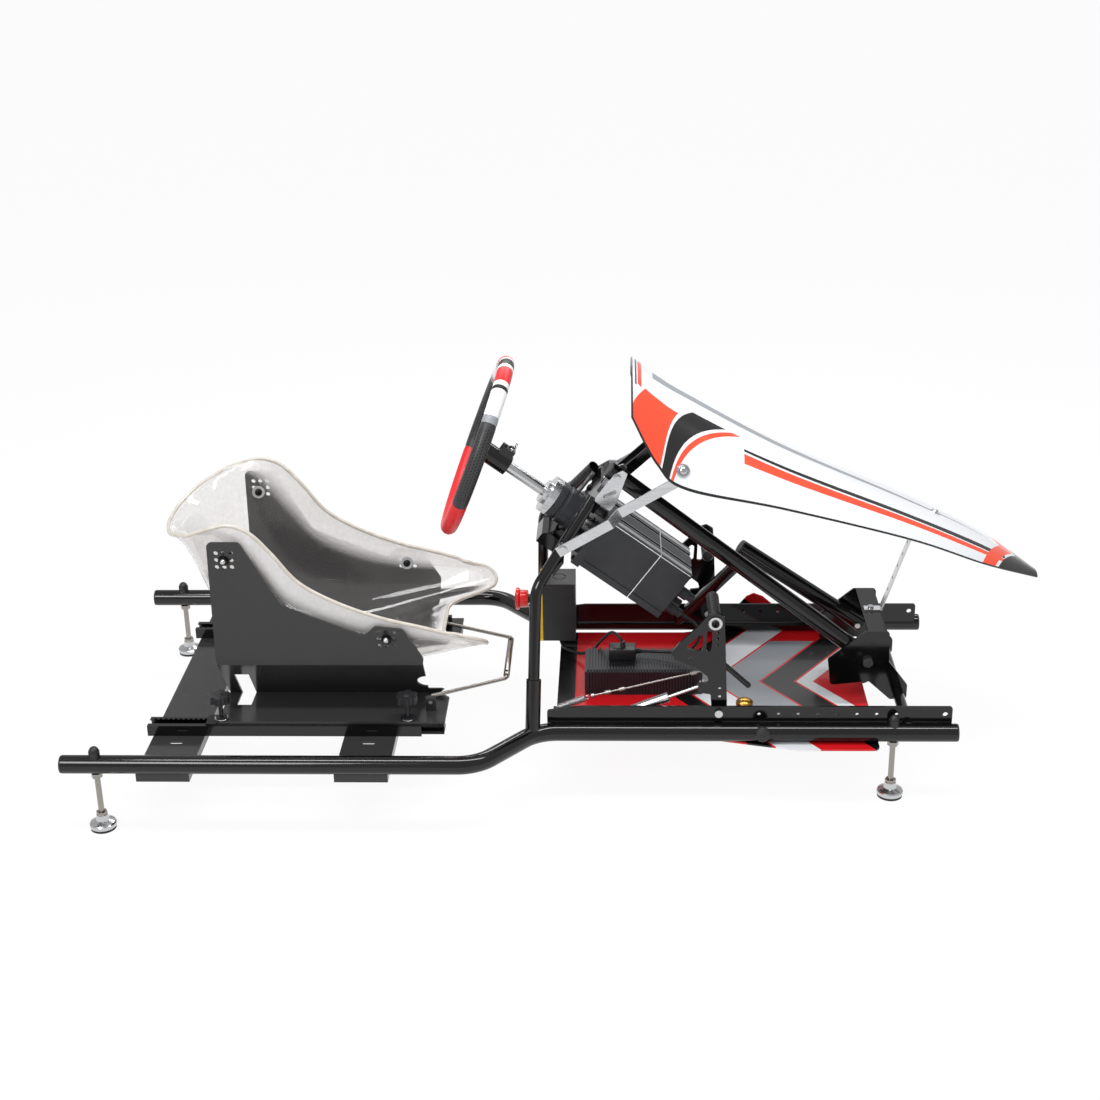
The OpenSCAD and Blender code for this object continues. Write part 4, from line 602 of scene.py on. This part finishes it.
def tray_print():
    # Laminated print on the floor tray: red ground with slanted white, grey and black bands.
    # The wing is black and red
    tree, place = begin("printed_tray")
    ink = bpy.context.scene.kart_colours
    at = add(tree, "SeparateXYZ", {0: place})
    x, y, z = (at.outputs[axis] for axis in "XYZ")
    across = add(tree, "Math", {0: y}, operation="ABSOLUTE")
    lean = add(tree, "Math", {0: across, 1: -0.7, 2: x}, operation="MULTIPLY_ADD")
    slope = add(tree, "Math", {0: z, 1: 1.286, 2: x}, operation="MULTIPLY_ADD")
    wing = (z, 0.112, 9)
    bands = [
        (ink.black, (lean, 0.16, 0.195)),
        (ink.white, (lean, 0.20, 0.27)),
        (ink.grey, (lean, 0.275, 0.36), (across, -1, 0.17)),
        (ink.black, (lean, 0.365, 0.425)),
        (ink.white, (lean, 0.43, 0.46), (across, -1, 0.17)),
        (ink.black, (x, -9, 0.02)),
        (ink.black, wing),
        (ink.red, wing, (slope, 0.562, 9)),
    ]
    cloud = add(tree, "TexNoise", {"Vector": place, "Scale": 1 / (70 * MM), "Detail": 3.0})
    ground = add(tree, "Mix", {0: cloud, 6: ink.red, 7: linear("#c9151d")}, data_type="RGBA").outputs[2]
    sheet = add(tree, "BsdfPrincipled", {
        "Base Color": overprint(tree, ground, bands), "Roughness": 0.26, "Coat Weight": 0.3,
    })
    add(tree, "OutputMaterial", {"Surface": sheet})


def wheel_leather():
    # Stitched grip: white leather on top, a grey band, perforated black leather on the sides and red below.
    # The holes are drawn coarser than real ones, so that they show, and each is painted near black: painted shade in
    # holes that the mesh does not cut
    tree, place = begin("wheel_leather")
    ink = bpy.context.scene.kart_colours
    pitch = bpy.context.scene.kart_sizes.hole_pitch
    at = add(tree, "SeparateXYZ", {0: add(tree, "UVMap", uv_map="grip")})
    turn = add(tree, "Math", {0: at.outputs["X"], 1: 360.0, 2: -180.0}, operation="MULTIPLY_ADD")
    angle = add(tree, "Math", {0: turn}, operation="ABSOLUTE")
    row = add(tree, "Math", {0: at.outputs["Y"], 1: round(math.tau * GRIP_RADIUS * MM / pitch)}, operation="MULTIPLY")
    along = add(tree, "Math", {0: at.outputs["X"], 1: math.tau * GRIP_REACH * MM / pitch}, operation="MULTIPLY")
    odd = add(tree, "Math", {0: add(tree, "Math", {0: row}, operation="FLOOR"), 1: 2.0}, operation="MODULO")
    shifted = add(tree, "Math", {0: odd, 1: 0.5, 2: along}, operation="MULTIPLY_ADD")
    cell = add(tree, "CombineXYZ", {
        0: add(tree, "Math", {0: shifted}, operation="FRACT"), 1: add(tree, "Math", {0: row}, operation="FRACT"),
    })
    gap = add(tree, "VectorMath", {0: cell, 1: (0.5, 0.5, 0.0)}, operation="DISTANCE").outputs["Value"]
    holed = add(tree, "Math", {0: angle, 1: 83.0, 2: 24.0}, operation="COMPARE")
    pierced = add(tree, "Math", {0: gap, 1: 0.3}, operation="LESS_THAN")
    hole = add(tree, "Math", {0: pierced, 1: holed}, operation="MULTIPLY")
    hide = add(tree, "TexNoise", {"Vector": place, "Scale": 1 / (2.2 * MM), "Detail": 4.0})
    ground = add(tree, "ValToRGB", {"Fac": hide}, [(0.3, "#e4e5e6"), (0.7, "#efefef")])
    dark = add(tree, "ValToRGB", {"Fac": hide}, [(0.3, "#29292b"), (0.7, "#38383a")])
    grey_edge, black_edge, red_edge = SEAMS
    bands = [
        (ink.red, (angle, 9, 24)),
        (ink.black, (angle, -1, 5)),
        (ink.black, (angle, 28, 31)),
        (ink.grey, (angle, grey_edge, black_edge)),
        (dark, (angle, black_edge, red_edge)),
        (ink.red, (angle, red_edge, 181)),
        # Painted shade: each hole is painted near black
        (linear("#050505"), (hole, 0.5, 2)),
    ]
    grain = add(tree, "Math", {0: hide, 1: 0.4}, operation="MULTIPLY")
    leather = add(tree, "BsdfPrincipled", {
        "Base Color": overprint(tree, ground, bands),
        "Roughness": add(tree, "MapRange", {
            "Value": hide, "From Min": 0.3, "From Max": 0.7, "To Min": 0.36, "To Max": 0.5,
        }),
        "Normal": add(tree, "Bump", {
            "Height": add(tree, "Math", {0: grain, 1: hole}, operation="SUBTRACT"),
            "Strength": 0.5, "Distance": 0.3 * MM,
        }),
    })
    add(tree, "OutputMaterial", {"Surface": leather})


FINISH_MAKERS = (
    tube_coat, sheet_coat, anodised_black, black_oxide, brushed_aluminium, turned_brass, fibreglass, fibreglass_edge,
    fairing_print, tray_print, wheel_leather,
)
# Finish of each material slot of the record
FINISHES = {
    "black_powder_coat": "glossy_powder_coat", "black_anodised": "black_anodised_aluminium",
    "zinc_steel": "bright_zinc_steel", "bare_aluminium": "brushed_aluminium", "black_plastic": "moulded_black_nylon",
    "foot_rubber": "black_rubber", "cable_rubber": "cable_sheath", "seat_fibreglass": "clear_fibreglass",
    "fairing_gloss": "printed_gloss_fairing", "tray_print": "printed_tray", "grip_leather": "wheel_leather",
    "estop_yellow": "moulded_yellow", "estop_red": "moulded_red", "brass": "turned_brass",
}
# Nodes whose finish differs from that of their slot: folded sheets with their black coat painted dark grey as painted
# light, blackened runners and drawn stainless bars
OWN_FINISH = {
    "seat_bracket_right": "satin_powder_coat", "seat_bracket_left": "satin_powder_coat",
    "rear_cross": "satin_powder_coat", "seat_cross": "satin_powder_coat",
    "slider_runners": "black_oxide_steel", "slider_lever": "satin_stainless_steel",
    "foot_studs": "satin_stainless_steel", "throttle_wire": "satin_stainless_steel",
}


class KART_OT_finishes(bpy.types.Operator):
    """Gives every CAD node the finish of its material slot"""

    bl_idname = "kart.finishes"
    bl_label = "Finishes"

    def execute(self, context):
        for make in FINISH_MAKERS:
            make()
        for row in STEELS:
            steel(*row)
        for row in PLASTICS:
            plastic(*row)
        for part in frame["record"]["subparts"]:
            finish = OWN_FINISH.get(part["node"], FINISHES[part["material_slot"]])
            mesh = frame["nodes"][part["node"]].data
            mesh.materials.clear()
            mesh.materials.append(bpy.data.materials[finish])
        return {"FINISHED"}


class KART_OT_stage(bpy.types.Operator):
    """Floor, lights and the camera at the photograph's angle"""

    bl_idname = "kart.stage"
    bl_label = "Stage"

    def execute(self, context):
        self.camera(context)
        self.floor(context)
        self.lights(context)
        return {"FINISHED"}

    def camera(self, context):
        pitch, yaw, roll = (math.radians(a) for a in CAMERA_TURN)
        level = Vector((math.sin(yaw), math.cos(yaw), 0))
        right = Vector((math.cos(yaw), -math.sin(yaw), 0))
        up = Vector((0, 0, 1))
        ahead = math.cos(pitch) * level - math.sin(pitch) * up
        tall = math.cos(pitch) * up + math.sin(pitch) * level
        across = math.cos(roll) * right + math.sin(roll) * tall
        above = -math.sin(roll) * right + math.cos(roll) * tall
        data = bpy.data.cameras.new("photo_camera")
        data.lens = context.scene.kart_sizes.camera_lens
        data.sensor_width = 36
        camera = bpy.data.objects.new("photo_camera", data)
        context.scene.collection.objects.link(camera)
        turn = Matrix((across, above, -ahead)).transposed().to_4x4()
        camera.matrix_world = Matrix.Translation(CAMERA_AT) @ turn
        context.scene.camera = camera

    def floor(self, context):
        mesh = bpy.data.meshes.new("floor")
        shape = bmesh.new()
        bmesh.ops.create_grid(shape, x_segments=1, y_segments=1, size=30)
        shape.to_mesh(mesh)
        shape.free()
        floor = bpy.data.objects.new("floor", mesh)
        context.scene.collection.objects.link(floor)
        mesh.materials.append(self.paper())

    def paper(self):
        # White paper floor: seen as near white by the eye and in reflections, with the shadow left on it
        tree, _ = begin("white_paper_floor")
        path = add(tree, "LightPath")
        glow = 0.93
        rays = {0: path.outputs["Is Glossy Ray"], 1: path.outputs["Is Transmission Ray"]}
        mirrored = add(tree, "Math", rays, operation="MAXIMUM")
        seen = add(tree, "Math", {0: path.outputs["Is Camera Ray"], 1: mirrored}, operation="MAXIMUM")
        mix = add(tree, "MixShader", {
            0: add(tree, "Math", {0: seen, 1: glow}, operation="MULTIPLY"),
            1: add(tree, "BsdfPrincipled", {"Base Color": linear("#f4f4f4"), "Roughness": 0.9}),
            2: add(tree, "Emission", {"Color": (1, 1, 1, 1), "Strength": 1.0}),
        })
        add(tree, "OutputMaterial", {"Surface": mix})
        return bpy.data.materials["white_paper_floor"]

    def lights(self, context):
        world = bpy.data.worlds.new("studio")
        context.scene.world = world
        world.use_nodes = True
        tree = world.node_tree
        tree.nodes.clear()
        mix = add(tree, "MixShader", {
            0: add(tree, "LightPath").outputs["Is Camera Ray"],
            1: add(tree, "Background", {"Color": (1, 1, 1, 1), "Strength": 0.55}),
            2: add(tree, "Background", {"Color": (1, 1, 1, 1), "Strength": 1.0}),
        })
        add(tree, "OutputWorld", {"Surface": mix})
        for name, place, aim, size, power in (
            ("key_softbox", (-1.5, -2.3, 2.4), (0, 0, 0.3), (1.4, 0.9), 42),
            ("top_strip", (0.0, -0.5, 2.6), (0.0, 0, 0.2), (2.8, 0.35), 44),
            ("back_strip", (0.3, 1.9, 2.0), (0.1, 0, 0.3), (2.6, 0.3), 26),
        ):
            data = bpy.data.lights.new(name, "AREA")
            data.shape = "RECTANGLE"
            data.size, data.size_y = size
            data.energy = power
            lamp = bpy.data.objects.new(name, data)
            lamp.location = place
            lamp.rotation_euler = (Vector(aim) - Vector(place)).to_track_quat("-Z", "Y").to_euler()
            context.scene.collection.objects.link(lamp)
        context.scene.view_settings.view_transform = "Standard"


class KART_OT_leads(bpy.types.Operator):
    """Leads between the emergency stop, the in-line box and the motor"""

    bl_idname = "kart.leads"
    bl_label = "Leads"

    def execute(self, context):
        d = context.scene.kart_sizes.lead_d / MM
        self.lead("stop_lead", STOP_LEAD, d)
        self.lead("motor_lead", MOTOR_LEAD, d)
        shape = bmesh.new()
        block(shape, (82, -16, 159), (132, 18, 181), 2.5)
        block(shape, (84, -14, 163), (130, 16, 165), 0.4, finish=1)
        boot = [(0, 0), (5.5, 0), (5.2, 3), (4.2, 5), (4.8, 6.4), (4.2, 8), (4.8, 9.4), (3.6, 11.4), (0, 11.4)]
        lathe(shape, boot, Matrix.Translation((108, 1, 180)))
        lathe(shape, boot, stand((131, 4, 170), (1, 0, 0)))
        piece("inline_box", shape, ["moulded_black_nylon", "black_rubber"], "chassis", ["harness"])
        return {"FINISHED"}

    def lead(self, name, route, diameter):
        points = [p * MM for p in smooth_route(route, 36)]
        data = tube(name, points, diameter / 2 * MM, "cable_sheath")
        made = settled(name, data, "chassis", ["harness"])


class KART_OT_seat(bpy.types.Operator):
    """Moulded bucket seat with its rolled rim"""

    bl_idname = "kart.seat"
    bl_label = "Seat"

    def execute(self, context):
        shape = skin(seat_point, 96, 104, SEAT_WALL)
        rim = shape.verts.layers.float.new("rim")
        grid = shape.loops.layers.uv.active
        for face in shape.faces:
            for loop in face.loops:
                t, k = loop[grid].uv
                edge = min(SEAT_RUN * min(t, 1 - t), SEAT_GIRTH * min(k, 1 - k))
                loop.vert[rim] = max(0, min(1, (HAZE_END - edge) / (HAZE_END - HAZE_START)))
        piece("seat", shape, ["clear_fibreglass"], "seat_carriage", ["seat_shell"], sharp=60)
        self.rolled_rim(context.scene.kart_sizes.rim_d / 2)
        return {"FINISHED"}

    def rolled_rim(self, radius):
        line = [(i / 80, 1) for i in range(80)] + [(1, 1 - i / 60) for i in range(120)]
        line += [(1 - i / 80, -1) for i in range(80)] + [(0, -1 + i / 40) for i in range(80)]
        points = [(seat_point(t, k) - SEAT_WALL / 2 * normal_at(seat_point, t, k)) * MM for t, k in line]
        data = tube("seat_rim", points, radius, "creamy_fibreglass_edge", closed=True)
        settled("seat_rim", data, "seat_carriage", ["seat_shell"])


class KART_OT_seat_fixings(bpy.types.Operator):
    """Seat bolts: washers and socket heads in the shell, spacers and dome nuts on the brackets"""

    bl_idname = "kart.seat_fixings"
    bl_label = "Seat fixings"

    def execute(self, context):
        shape = bmesh.new()
        for x, z in SEAT_BOLTS:
            t, k = min(
                ((i / 120, j / 120) for i in range(121) for j in range(20, 121)),
                key=lambda at: (seat_point(*at).x - x) ** 2 + (seat_point(*at).z - z) ** 2,
            )
            for side in (-1, 1):
                inner = seat_point(t, side * k)
                inner.x, inner.z = x, z
                way = normal_at(seat_point, t, side * k)
                if way.y * side > 0:
                    way = -way
                head = stand(inner + way * 0.2, way)
                lathe(shape, washer(4.2, 12, 1.8), head)
                lathe(shape, button_head(7, 4.5, 2.6), head @ lift(1.8), 1)
                out = stand((x, side * BRACKET_OUT, z), (0, side, 0))
                lathe(shape, washer(4.2, 9.5, 1.4), out, 1)
                hexagon(shape, 13, 5.5, out @ lift(1.4), 1)
                lathe(shape, [(0, 6), (5.6, 6), (5.4, 7.5), (4.2, 10), (2.2, 11.6), (0, 12)], out)
                span_y = abs(inner.y) + 9
                long = BRACKET_IN - span_y
                lathe(shape, [(4.2, 0), (10, 0), (10, long), (4.2, long), (4.2, 0)],
                      stand((x, side * span_y, z), (0, side, 0)), 2)
        piece("seat_fixings", shape, ["bright_zinc_steel", "black_oxide_steel", "black_rubber"], "seat_carriage",
              ["seat_bolts"])
        return {"FINISHED"}


class KART_OT_fairing(bpy.types.Operator):
    """Printed fairing shell and its cup-washer fixings"""

    bl_idname = "kart.fairing"
    bl_label = "Fairing"

    def execute(self, context):
        shape = skin(fairing_point, 120, 72, -FAIRING_WALL)
        shape.normal_update()
        for face in shape.faces:
            face.material_index = 1 if face.normal.z < -0.02 else 0
        piece("fairing_print", shape, ["printed_gloss_fairing", "moulded_black_nylon"], "chassis",
              ["fairing"], sharp=50)
        shape = bmesh.new()
        for t, k, r in FAIRING_BOLTS:
            place = stand(fairing_point(t, k), normal_at(fairing_point, t, k))
            top = place @ lift(FAIRING_WALL)
            cup = [(r, 0), (3 * r, 0), (3 * r, 1), (2.7 * r, 2.6), (2.3 * r, 2.8), (1.9 * r, 1.6), (r, 1.4), (r, 0)]
            lathe(shape, cup, top)
            lathe(shape, button_head(1.75 * r, 1.1 * r, 0.65 * r), top @ lift(1.5))
            lathe(shape, [(0, -13), (r, -13), (r, FAIRING_WALL), (0, FAIRING_WALL)], place)
            hexagon(shape, 3.2 * r, 1.5 * r, place @ lift(-5.5 - 1.5 * r))
        piece("fairing_fixings", shape, ["bright_zinc_steel"], "chassis", ["fairing_bolts"])
        return {"FINISHED"}


class KART_OT_wheel(bpy.types.Operator):
    """Wheel grip in white, perforated black and red leather, the hub bolts and the thumb screw"""

    bl_idname = "kart.wheel"
    bl_label = "Wheel"

    def execute(self, context):
        shape = bmesh.new()
        shape.loops.layers.uv.new("grip")
        bmesh.ops.create_grid(shape, x_segments=216, y_segments=28, size=0.5, calc_uvs=True)
        for vert in shape.verts:
            vert.co = self.grip_point(vert.co.x * 360, vert.co.y * math.tau)
        bmesh.ops.remove_doubles(shape, verts=shape.verts, dist=0.01)
        bmesh.ops.recalc_face_normals(shape, faces=shape.faces)
        bmesh.ops.transform(shape, matrix=WHEEL, verts=shape.verts)
        piece("wheel_grip", shape, ["wheel_leather"], "steering", ["wheel_rim"], sharp=60)
        shape = bmesh.new()
        for a in range(30, 390, 60):
            at = WHEEL @ Matrix.Rotation(math.radians(a), 4, "Z") @ Matrix.Translation((29, 0, -2)) @ FLIP
            lathe(shape, button_head(5.2, 3.2, 1.9), at, steps=24)
        for y in (-6, 6):
            at = COLUMN @ Matrix.Translation((-30, y, 46 + y)) @ Matrix.Rotation(-math.pi / 2, 4, "Y")
            lathe(shape, button_head(3.6, 3.4, 1.6), at, steps=24)
        self.thumb_screw(shape)
        piece("wheel_bolts", shape, ["black_oxide_steel", "bright_zinc_steel"], "steering")
        return {"FINISHED"}

    def thumb_screw(self, shape):
        """Wing screw that clamps the hub."""
        up = COLUMN @ Matrix.Translation((-30, 0, 56)) @ Matrix.Rotation(-math.pi / 2, 4, "Y")
        lathe(shape, [(0, 0), (5, 0), (5, 1.2), (3.4, 1.8), (3.4, 7), (2.6, 8), (0, 8)], up, 1, steps=24)
        for lean in (-0.6, 0.6):
            wing = up @ lift(4) @ Matrix.Rotation(lean, 4, "X")
            block(shape, (-1, -4, 0), (1, 4, 12), 0.9, wing, 1)

    def grip_point(self, angle, turn):
        """Point of the grip: angle from the top in degrees, turn about the grip."""
        groove = sum(math.exp(-((abs(angle) - seam) / 1.1) ** 2) for seam in SEAMS)
        r = GRIP_RADIUS + 0.25 * math.cos(math.radians(2 * angle)) - 0.7 * groove
        a = math.radians(180 + angle)
        reach = GRIP_REACH + r * math.cos(turn)
        return Vector((reach * math.cos(a), reach * math.sin(a), r * math.sin(turn)))


class KART_OT_spring(bpy.types.Operator):
    """Throttle return spring"""

    bl_idname = "kart.spring"
    bl_label = "Return spring"

    def execute(self, context):
        start, end = Vector(SPRING[0]), Vector(SPRING[1])
        turns = context.scene.kart_sizes.spring_turns
        way = (end - start).normalized()
        run = (end - start).length
        shape = bmesh.new()
        wire, hook = 0.9, 6
        steps = 20 * turns
        bmesh.ops.spin(shape, geom=wire_section(shape, 5.5, wire, 8), axis=(0, 0, 1), angle=math.tau * turns,
                       dvec=(0, 0, (run - 2 * hook) / steps), steps=steps)
        bmesh.ops.recalc_face_normals(shape, faces=shape.faces)
        bmesh.ops.transform(shape, matrix=stand(start + way * hook, way), verts=shape.verts)
        for at in (start + way * 2.4, end - way * 2.4):
            ring(shape, 3.4, wire, Matrix.Translation(at) @ SIDEWAYS)
        made = piece("return_coil", shape, ["bright_zinc_steel"], None, ["return_spring"], sharp=60)
        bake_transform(made)
        return {"FINISHED"}


class KART_OT_pegs(bpy.types.Operator):
    """Ribbed foot pegs with their washers and bolts"""

    bl_idname = "kart.pegs"
    bl_label = "Foot pegs"

    def execute(self, context):
        rib = ((8.4, 5), (8.4, 7.5), (11, 9), (11, 13))
        ribs = [(r, z + 10 * i) for i in range(10) for r, z in rib]
        grip = [(0, 0), (10.4, 0), (11, 0.8), (11, 3)] + ribs + [(9, 107), (6, 108), (0, 108)]
        for side, body, node_name in ((-1, "throttle", "throttle_peg"), (1, "brake", "brake_peg")):
            shape = bmesh.new()
            lathe(shape, grip, stand((PEG_AT[0], side * 195, PEG_AT[1]), (0, -side, 0)))
            out = stand((PEG_AT[0], side * 200, PEG_AT[1]), (0, side, 0))
            lathe(shape, washer(4, 12, 3), out, 1)
            lathe(shape, button_head(7, 5, 3), out @ lift(3), 2)
            lathe(shape, [(0, -6), (4, -6), (4, 3), (0, 3)], out, 2)
            piece(node_name + "_grip", shape, ["cable_sheath", "bright_zinc_steel", "black_oxide_steel"], body,
                  [node_name])
        return {"FINISHED"}


class KART_OT_motor_trim(bpy.types.Operator):
    """Bright inlays and screws of the motor"""

    bl_idname = "kart.motor_trim"
    bl_label = "Motor trim"

    def execute(self, context):
        shape = bmesh.new()
        low, high = MOTOR_MID - MOTOR_HALF, MOTOR_MID + MOTOR_HALF
        start, end = MOTOR_START + 1, MOTOR_END - 1
        band = MOTOR_START + (MOTOR_END - MOTOR_START) * 0.6
        film_y, slot_y = 49, 27
        for side in (-1, 1):
            y = side * (MOTOR_SIDE + 0.2)
            near, far = sorted((y, y + side))
            block(shape, (low + 1, near, band + 0.2), (high - 1, far, band + 1.8), 0.2, COLUMN)
            near, far = sorted((y, y + side * 1.1))
            block(shape, (low + 2, near, start + 1), (low + 3.6, far, end - 1), 0.3, COLUMN)
            y = side * film_y
            block(shape, (low - 0.25, y - 5, start), (low + 6, y + 5, end), 0.2, COLUMN, 1)
            for y in (side * film_y, side * slot_y):
                for edge in (-6.2, 5.6):
                    block(shape, (low - 0.3, y + edge, start), (low + 0.5, y + edge + 0.7, end), 0.15, COLUMN)
        block(shape, (low - 0.2, -MOTOR_SIDE, band + 0.2), (low + 1.2, MOTOR_SIDE, band + 1.8), 0.2, COLUMN)
        piece("motor_inlays", shape, ["white_enamel", "silver_film"], "chassis")
        shape = bmesh.new()
        for v in (-44, 44):
            for y in (-54, 54):
                at = COLUMN @ Matrix.Translation((MOTOR_MID + v, y, MOTOR_END))
                lathe(shape, button_head(4, 3, 1.8), at, steps=24)
                at = COLUMN @ Matrix.Translation((MOTOR_MID + v * 1.1, y, 250)) @ FLIP
                lathe(shape, button_head(4.6, 3.4, 2), at, steps=24)
        for v in (-40, 40):
            for y in (-40, 40):
                at = COLUMN @ Matrix.Translation((v, y, 216)) @ FLIP
                lathe(shape, button_head(6.5, 5, 2.6), at, steps=28)
        piece("motor_screws", shape, ["black_oxide_steel"], "chassis")
        return {"FINISHED"}


class KART_OT_stop_button(bpy.types.Operator):
    """Mushroom head of the emergency stop on its black stem, and the collar on the lid"""

    bl_idname = "kart.stop_button"
    bl_label = "Stop button"

    def execute(self, context):
        out = stand(ESTOP_AT, (-1, 0, 0))
        shape = bmesh.new()
        lathe(shape, [(0, 23), (16, 23), (16.6, 24), (17.2, 38), (20.4, 40), (21.4, 42), (21.4, 45), (20, 46.6),
                      (12, 48), (0, 48.4)], out, steps=48)
        lathe(shape, [(0, 1), (9, 1), (9, 23.5), (0, 23.5)], out, 1)
        piece("stop_button", shape, ["moulded_red", "moulded_black_nylon"], "estop_button_body",
              ["estop_button"])
        shape = bmesh.new()
        lathe(shape, [(10, 0), (24, 0), (24, 2), (19, 3), (18, 5), (18, 15), (17, 16.5), (10, 16.5), (10, 0)], out,
              steps=48)
        piece("stop_collar", shape, ["moulded_black_nylon"], "chassis")
        return {"FINISHED"}


class KART_OT_hardware(bpy.types.Operator):
    """Knob washers and caps, stop lid screws, brass stop screw, rail bumper and lever sleeve"""

    bl_idname = "kart.hardware"
    bl_label = "Small hardware"

    def execute(self, context):
        for y, hand in ((-KNOBS_Y, "right"), (KNOBS_Y, "left")):
            for place, x in KNOBS_X:
                shape = bmesh.new()
                knob = "knob_" + place + "_" + hand
                lathe(shape, washer(10.2, 12.5, 1.6), Matrix.Translation((x, y, 140)))
                lathe(shape, [(0, 0), (7, 0), (6, 1.4), (3, 2.2), (0, 2.4)], Matrix.Translation((x, y, 186.5)), 1)
                piece(knob + "_washer", shape, ["bright_zinc_steel", "moulded_black_nylon"], knob + "_body")
        shape = bmesh.new()
        for y in (110, 172):
            for z in (150, 252):
                lathe(shape, button_head(3.4, 1.8, 1.4), stand((ESTOP_AT[0], y, z), (-1, 0, 0)), steps=20)
        piece("stop_screws", shape, ["bright_zinc_steel"], "chassis")
        shape = bmesh.new()
        lathe(shape, [(0, -16), (3, -16), (3, 4), (9, 4), (9, 13), (3.4, 13.4), (3.4, 16), (13.4, 16.4), (15, 18),
                      (15, 23), (13, 25.4), (9.5, 27.6), (5, 29), (0, 29.4)], Matrix.Translation(STOP_TAB))
        piece("stop_screw", shape, ["turned_brass"], "stop_knob_body", ["stop_knob"])
        shape = bmesh.new()
        lathe(shape, [(0, 0), (13, 0), (13, 8), (11.5, 11), (8, 12), (0, 12.2)], stand(BUMPER_AT, (0, -1, 0.25)))
        piece("rail_bumper", shape, ["black_rubber"], "chassis")
        shape = bmesh.new()
        end, inside = LEVER_HALF, LEVER_HALF - 1
        lathe(shape, [(3.6, -end), (5.4, -end), (5.8, -inside), (5.8, inside), (5.4, end), (3.6, end), (3.6, -end)],
              stand((LEVER_X, 0, LEVER_Z), (0, 1, 0)))
        for y in (10 - end, end - 10):
            lathe(shape, button_head(2.6, 1.8, 1.1), stand((LEVER_X, y, LEVER_Z + 5.5), (0, 0, 1)), 1, steps=20)
        piece("lever_sleeve", shape, ["satin_stainless_steel", "black_oxide_steel"], "slider_lever_body")
        return {"FINISHED"}


class KART_PT_panel(bpy.types.Panel):
    """Sidebar panel of the karting simulator chassis"""

    bl_label = "Kart chassis"
    bl_idname = "KART_PT_panel"
    bl_space_type = "VIEW_3D"
    bl_region_type = "UI"
    bl_category = "Kart"

    def draw(self, context):
        for operator in OPERATORS:
            self.layout.operator(operator.bl_idname)


OPERATORS = (
    KART_OT_stage, KART_OT_finishes, KART_OT_leads, KART_OT_seat, KART_OT_seat_fixings, KART_OT_fairing,
    KART_OT_wheel, KART_OT_spring, KART_OT_pegs, KART_OT_motor_trim, KART_OT_stop_button, KART_OT_hardware,
)
CLASSES = (KartColours, KartSizes) + OPERATORS + (KART_PT_panel,)


def register():
    for made in CLASSES:
        bpy.utils.register_class(made)
    bpy.types.Scene.kart_colours = PointerProperty(type=KartColours)
    bpy.types.Scene.kart_sizes = PointerProperty(type=KartSizes)


def unregister():
    del bpy.types.Scene.kart_sizes
    del bpy.types.Scene.kart_colours
    for made in reversed(CLASSES):
        bpy.utils.unregister_class(made)


def main():
    register()
    bpy.ops.kart.stage()
    bpy.ops.kart.finishes()
    bpy.ops.kart.leads()
    bpy.ops.kart.seat()
    bpy.ops.kart.seat_fixings()
    bpy.ops.kart.fairing()
    bpy.ops.kart.wheel()
    bpy.ops.kart.spring()
    bpy.ops.kart.pegs()
    bpy.ops.kart.motor_trim()
    bpy.ops.kart.stop_button()
    bpy.ops.kart.hardware()


if __name__ == "__main__":
    main()
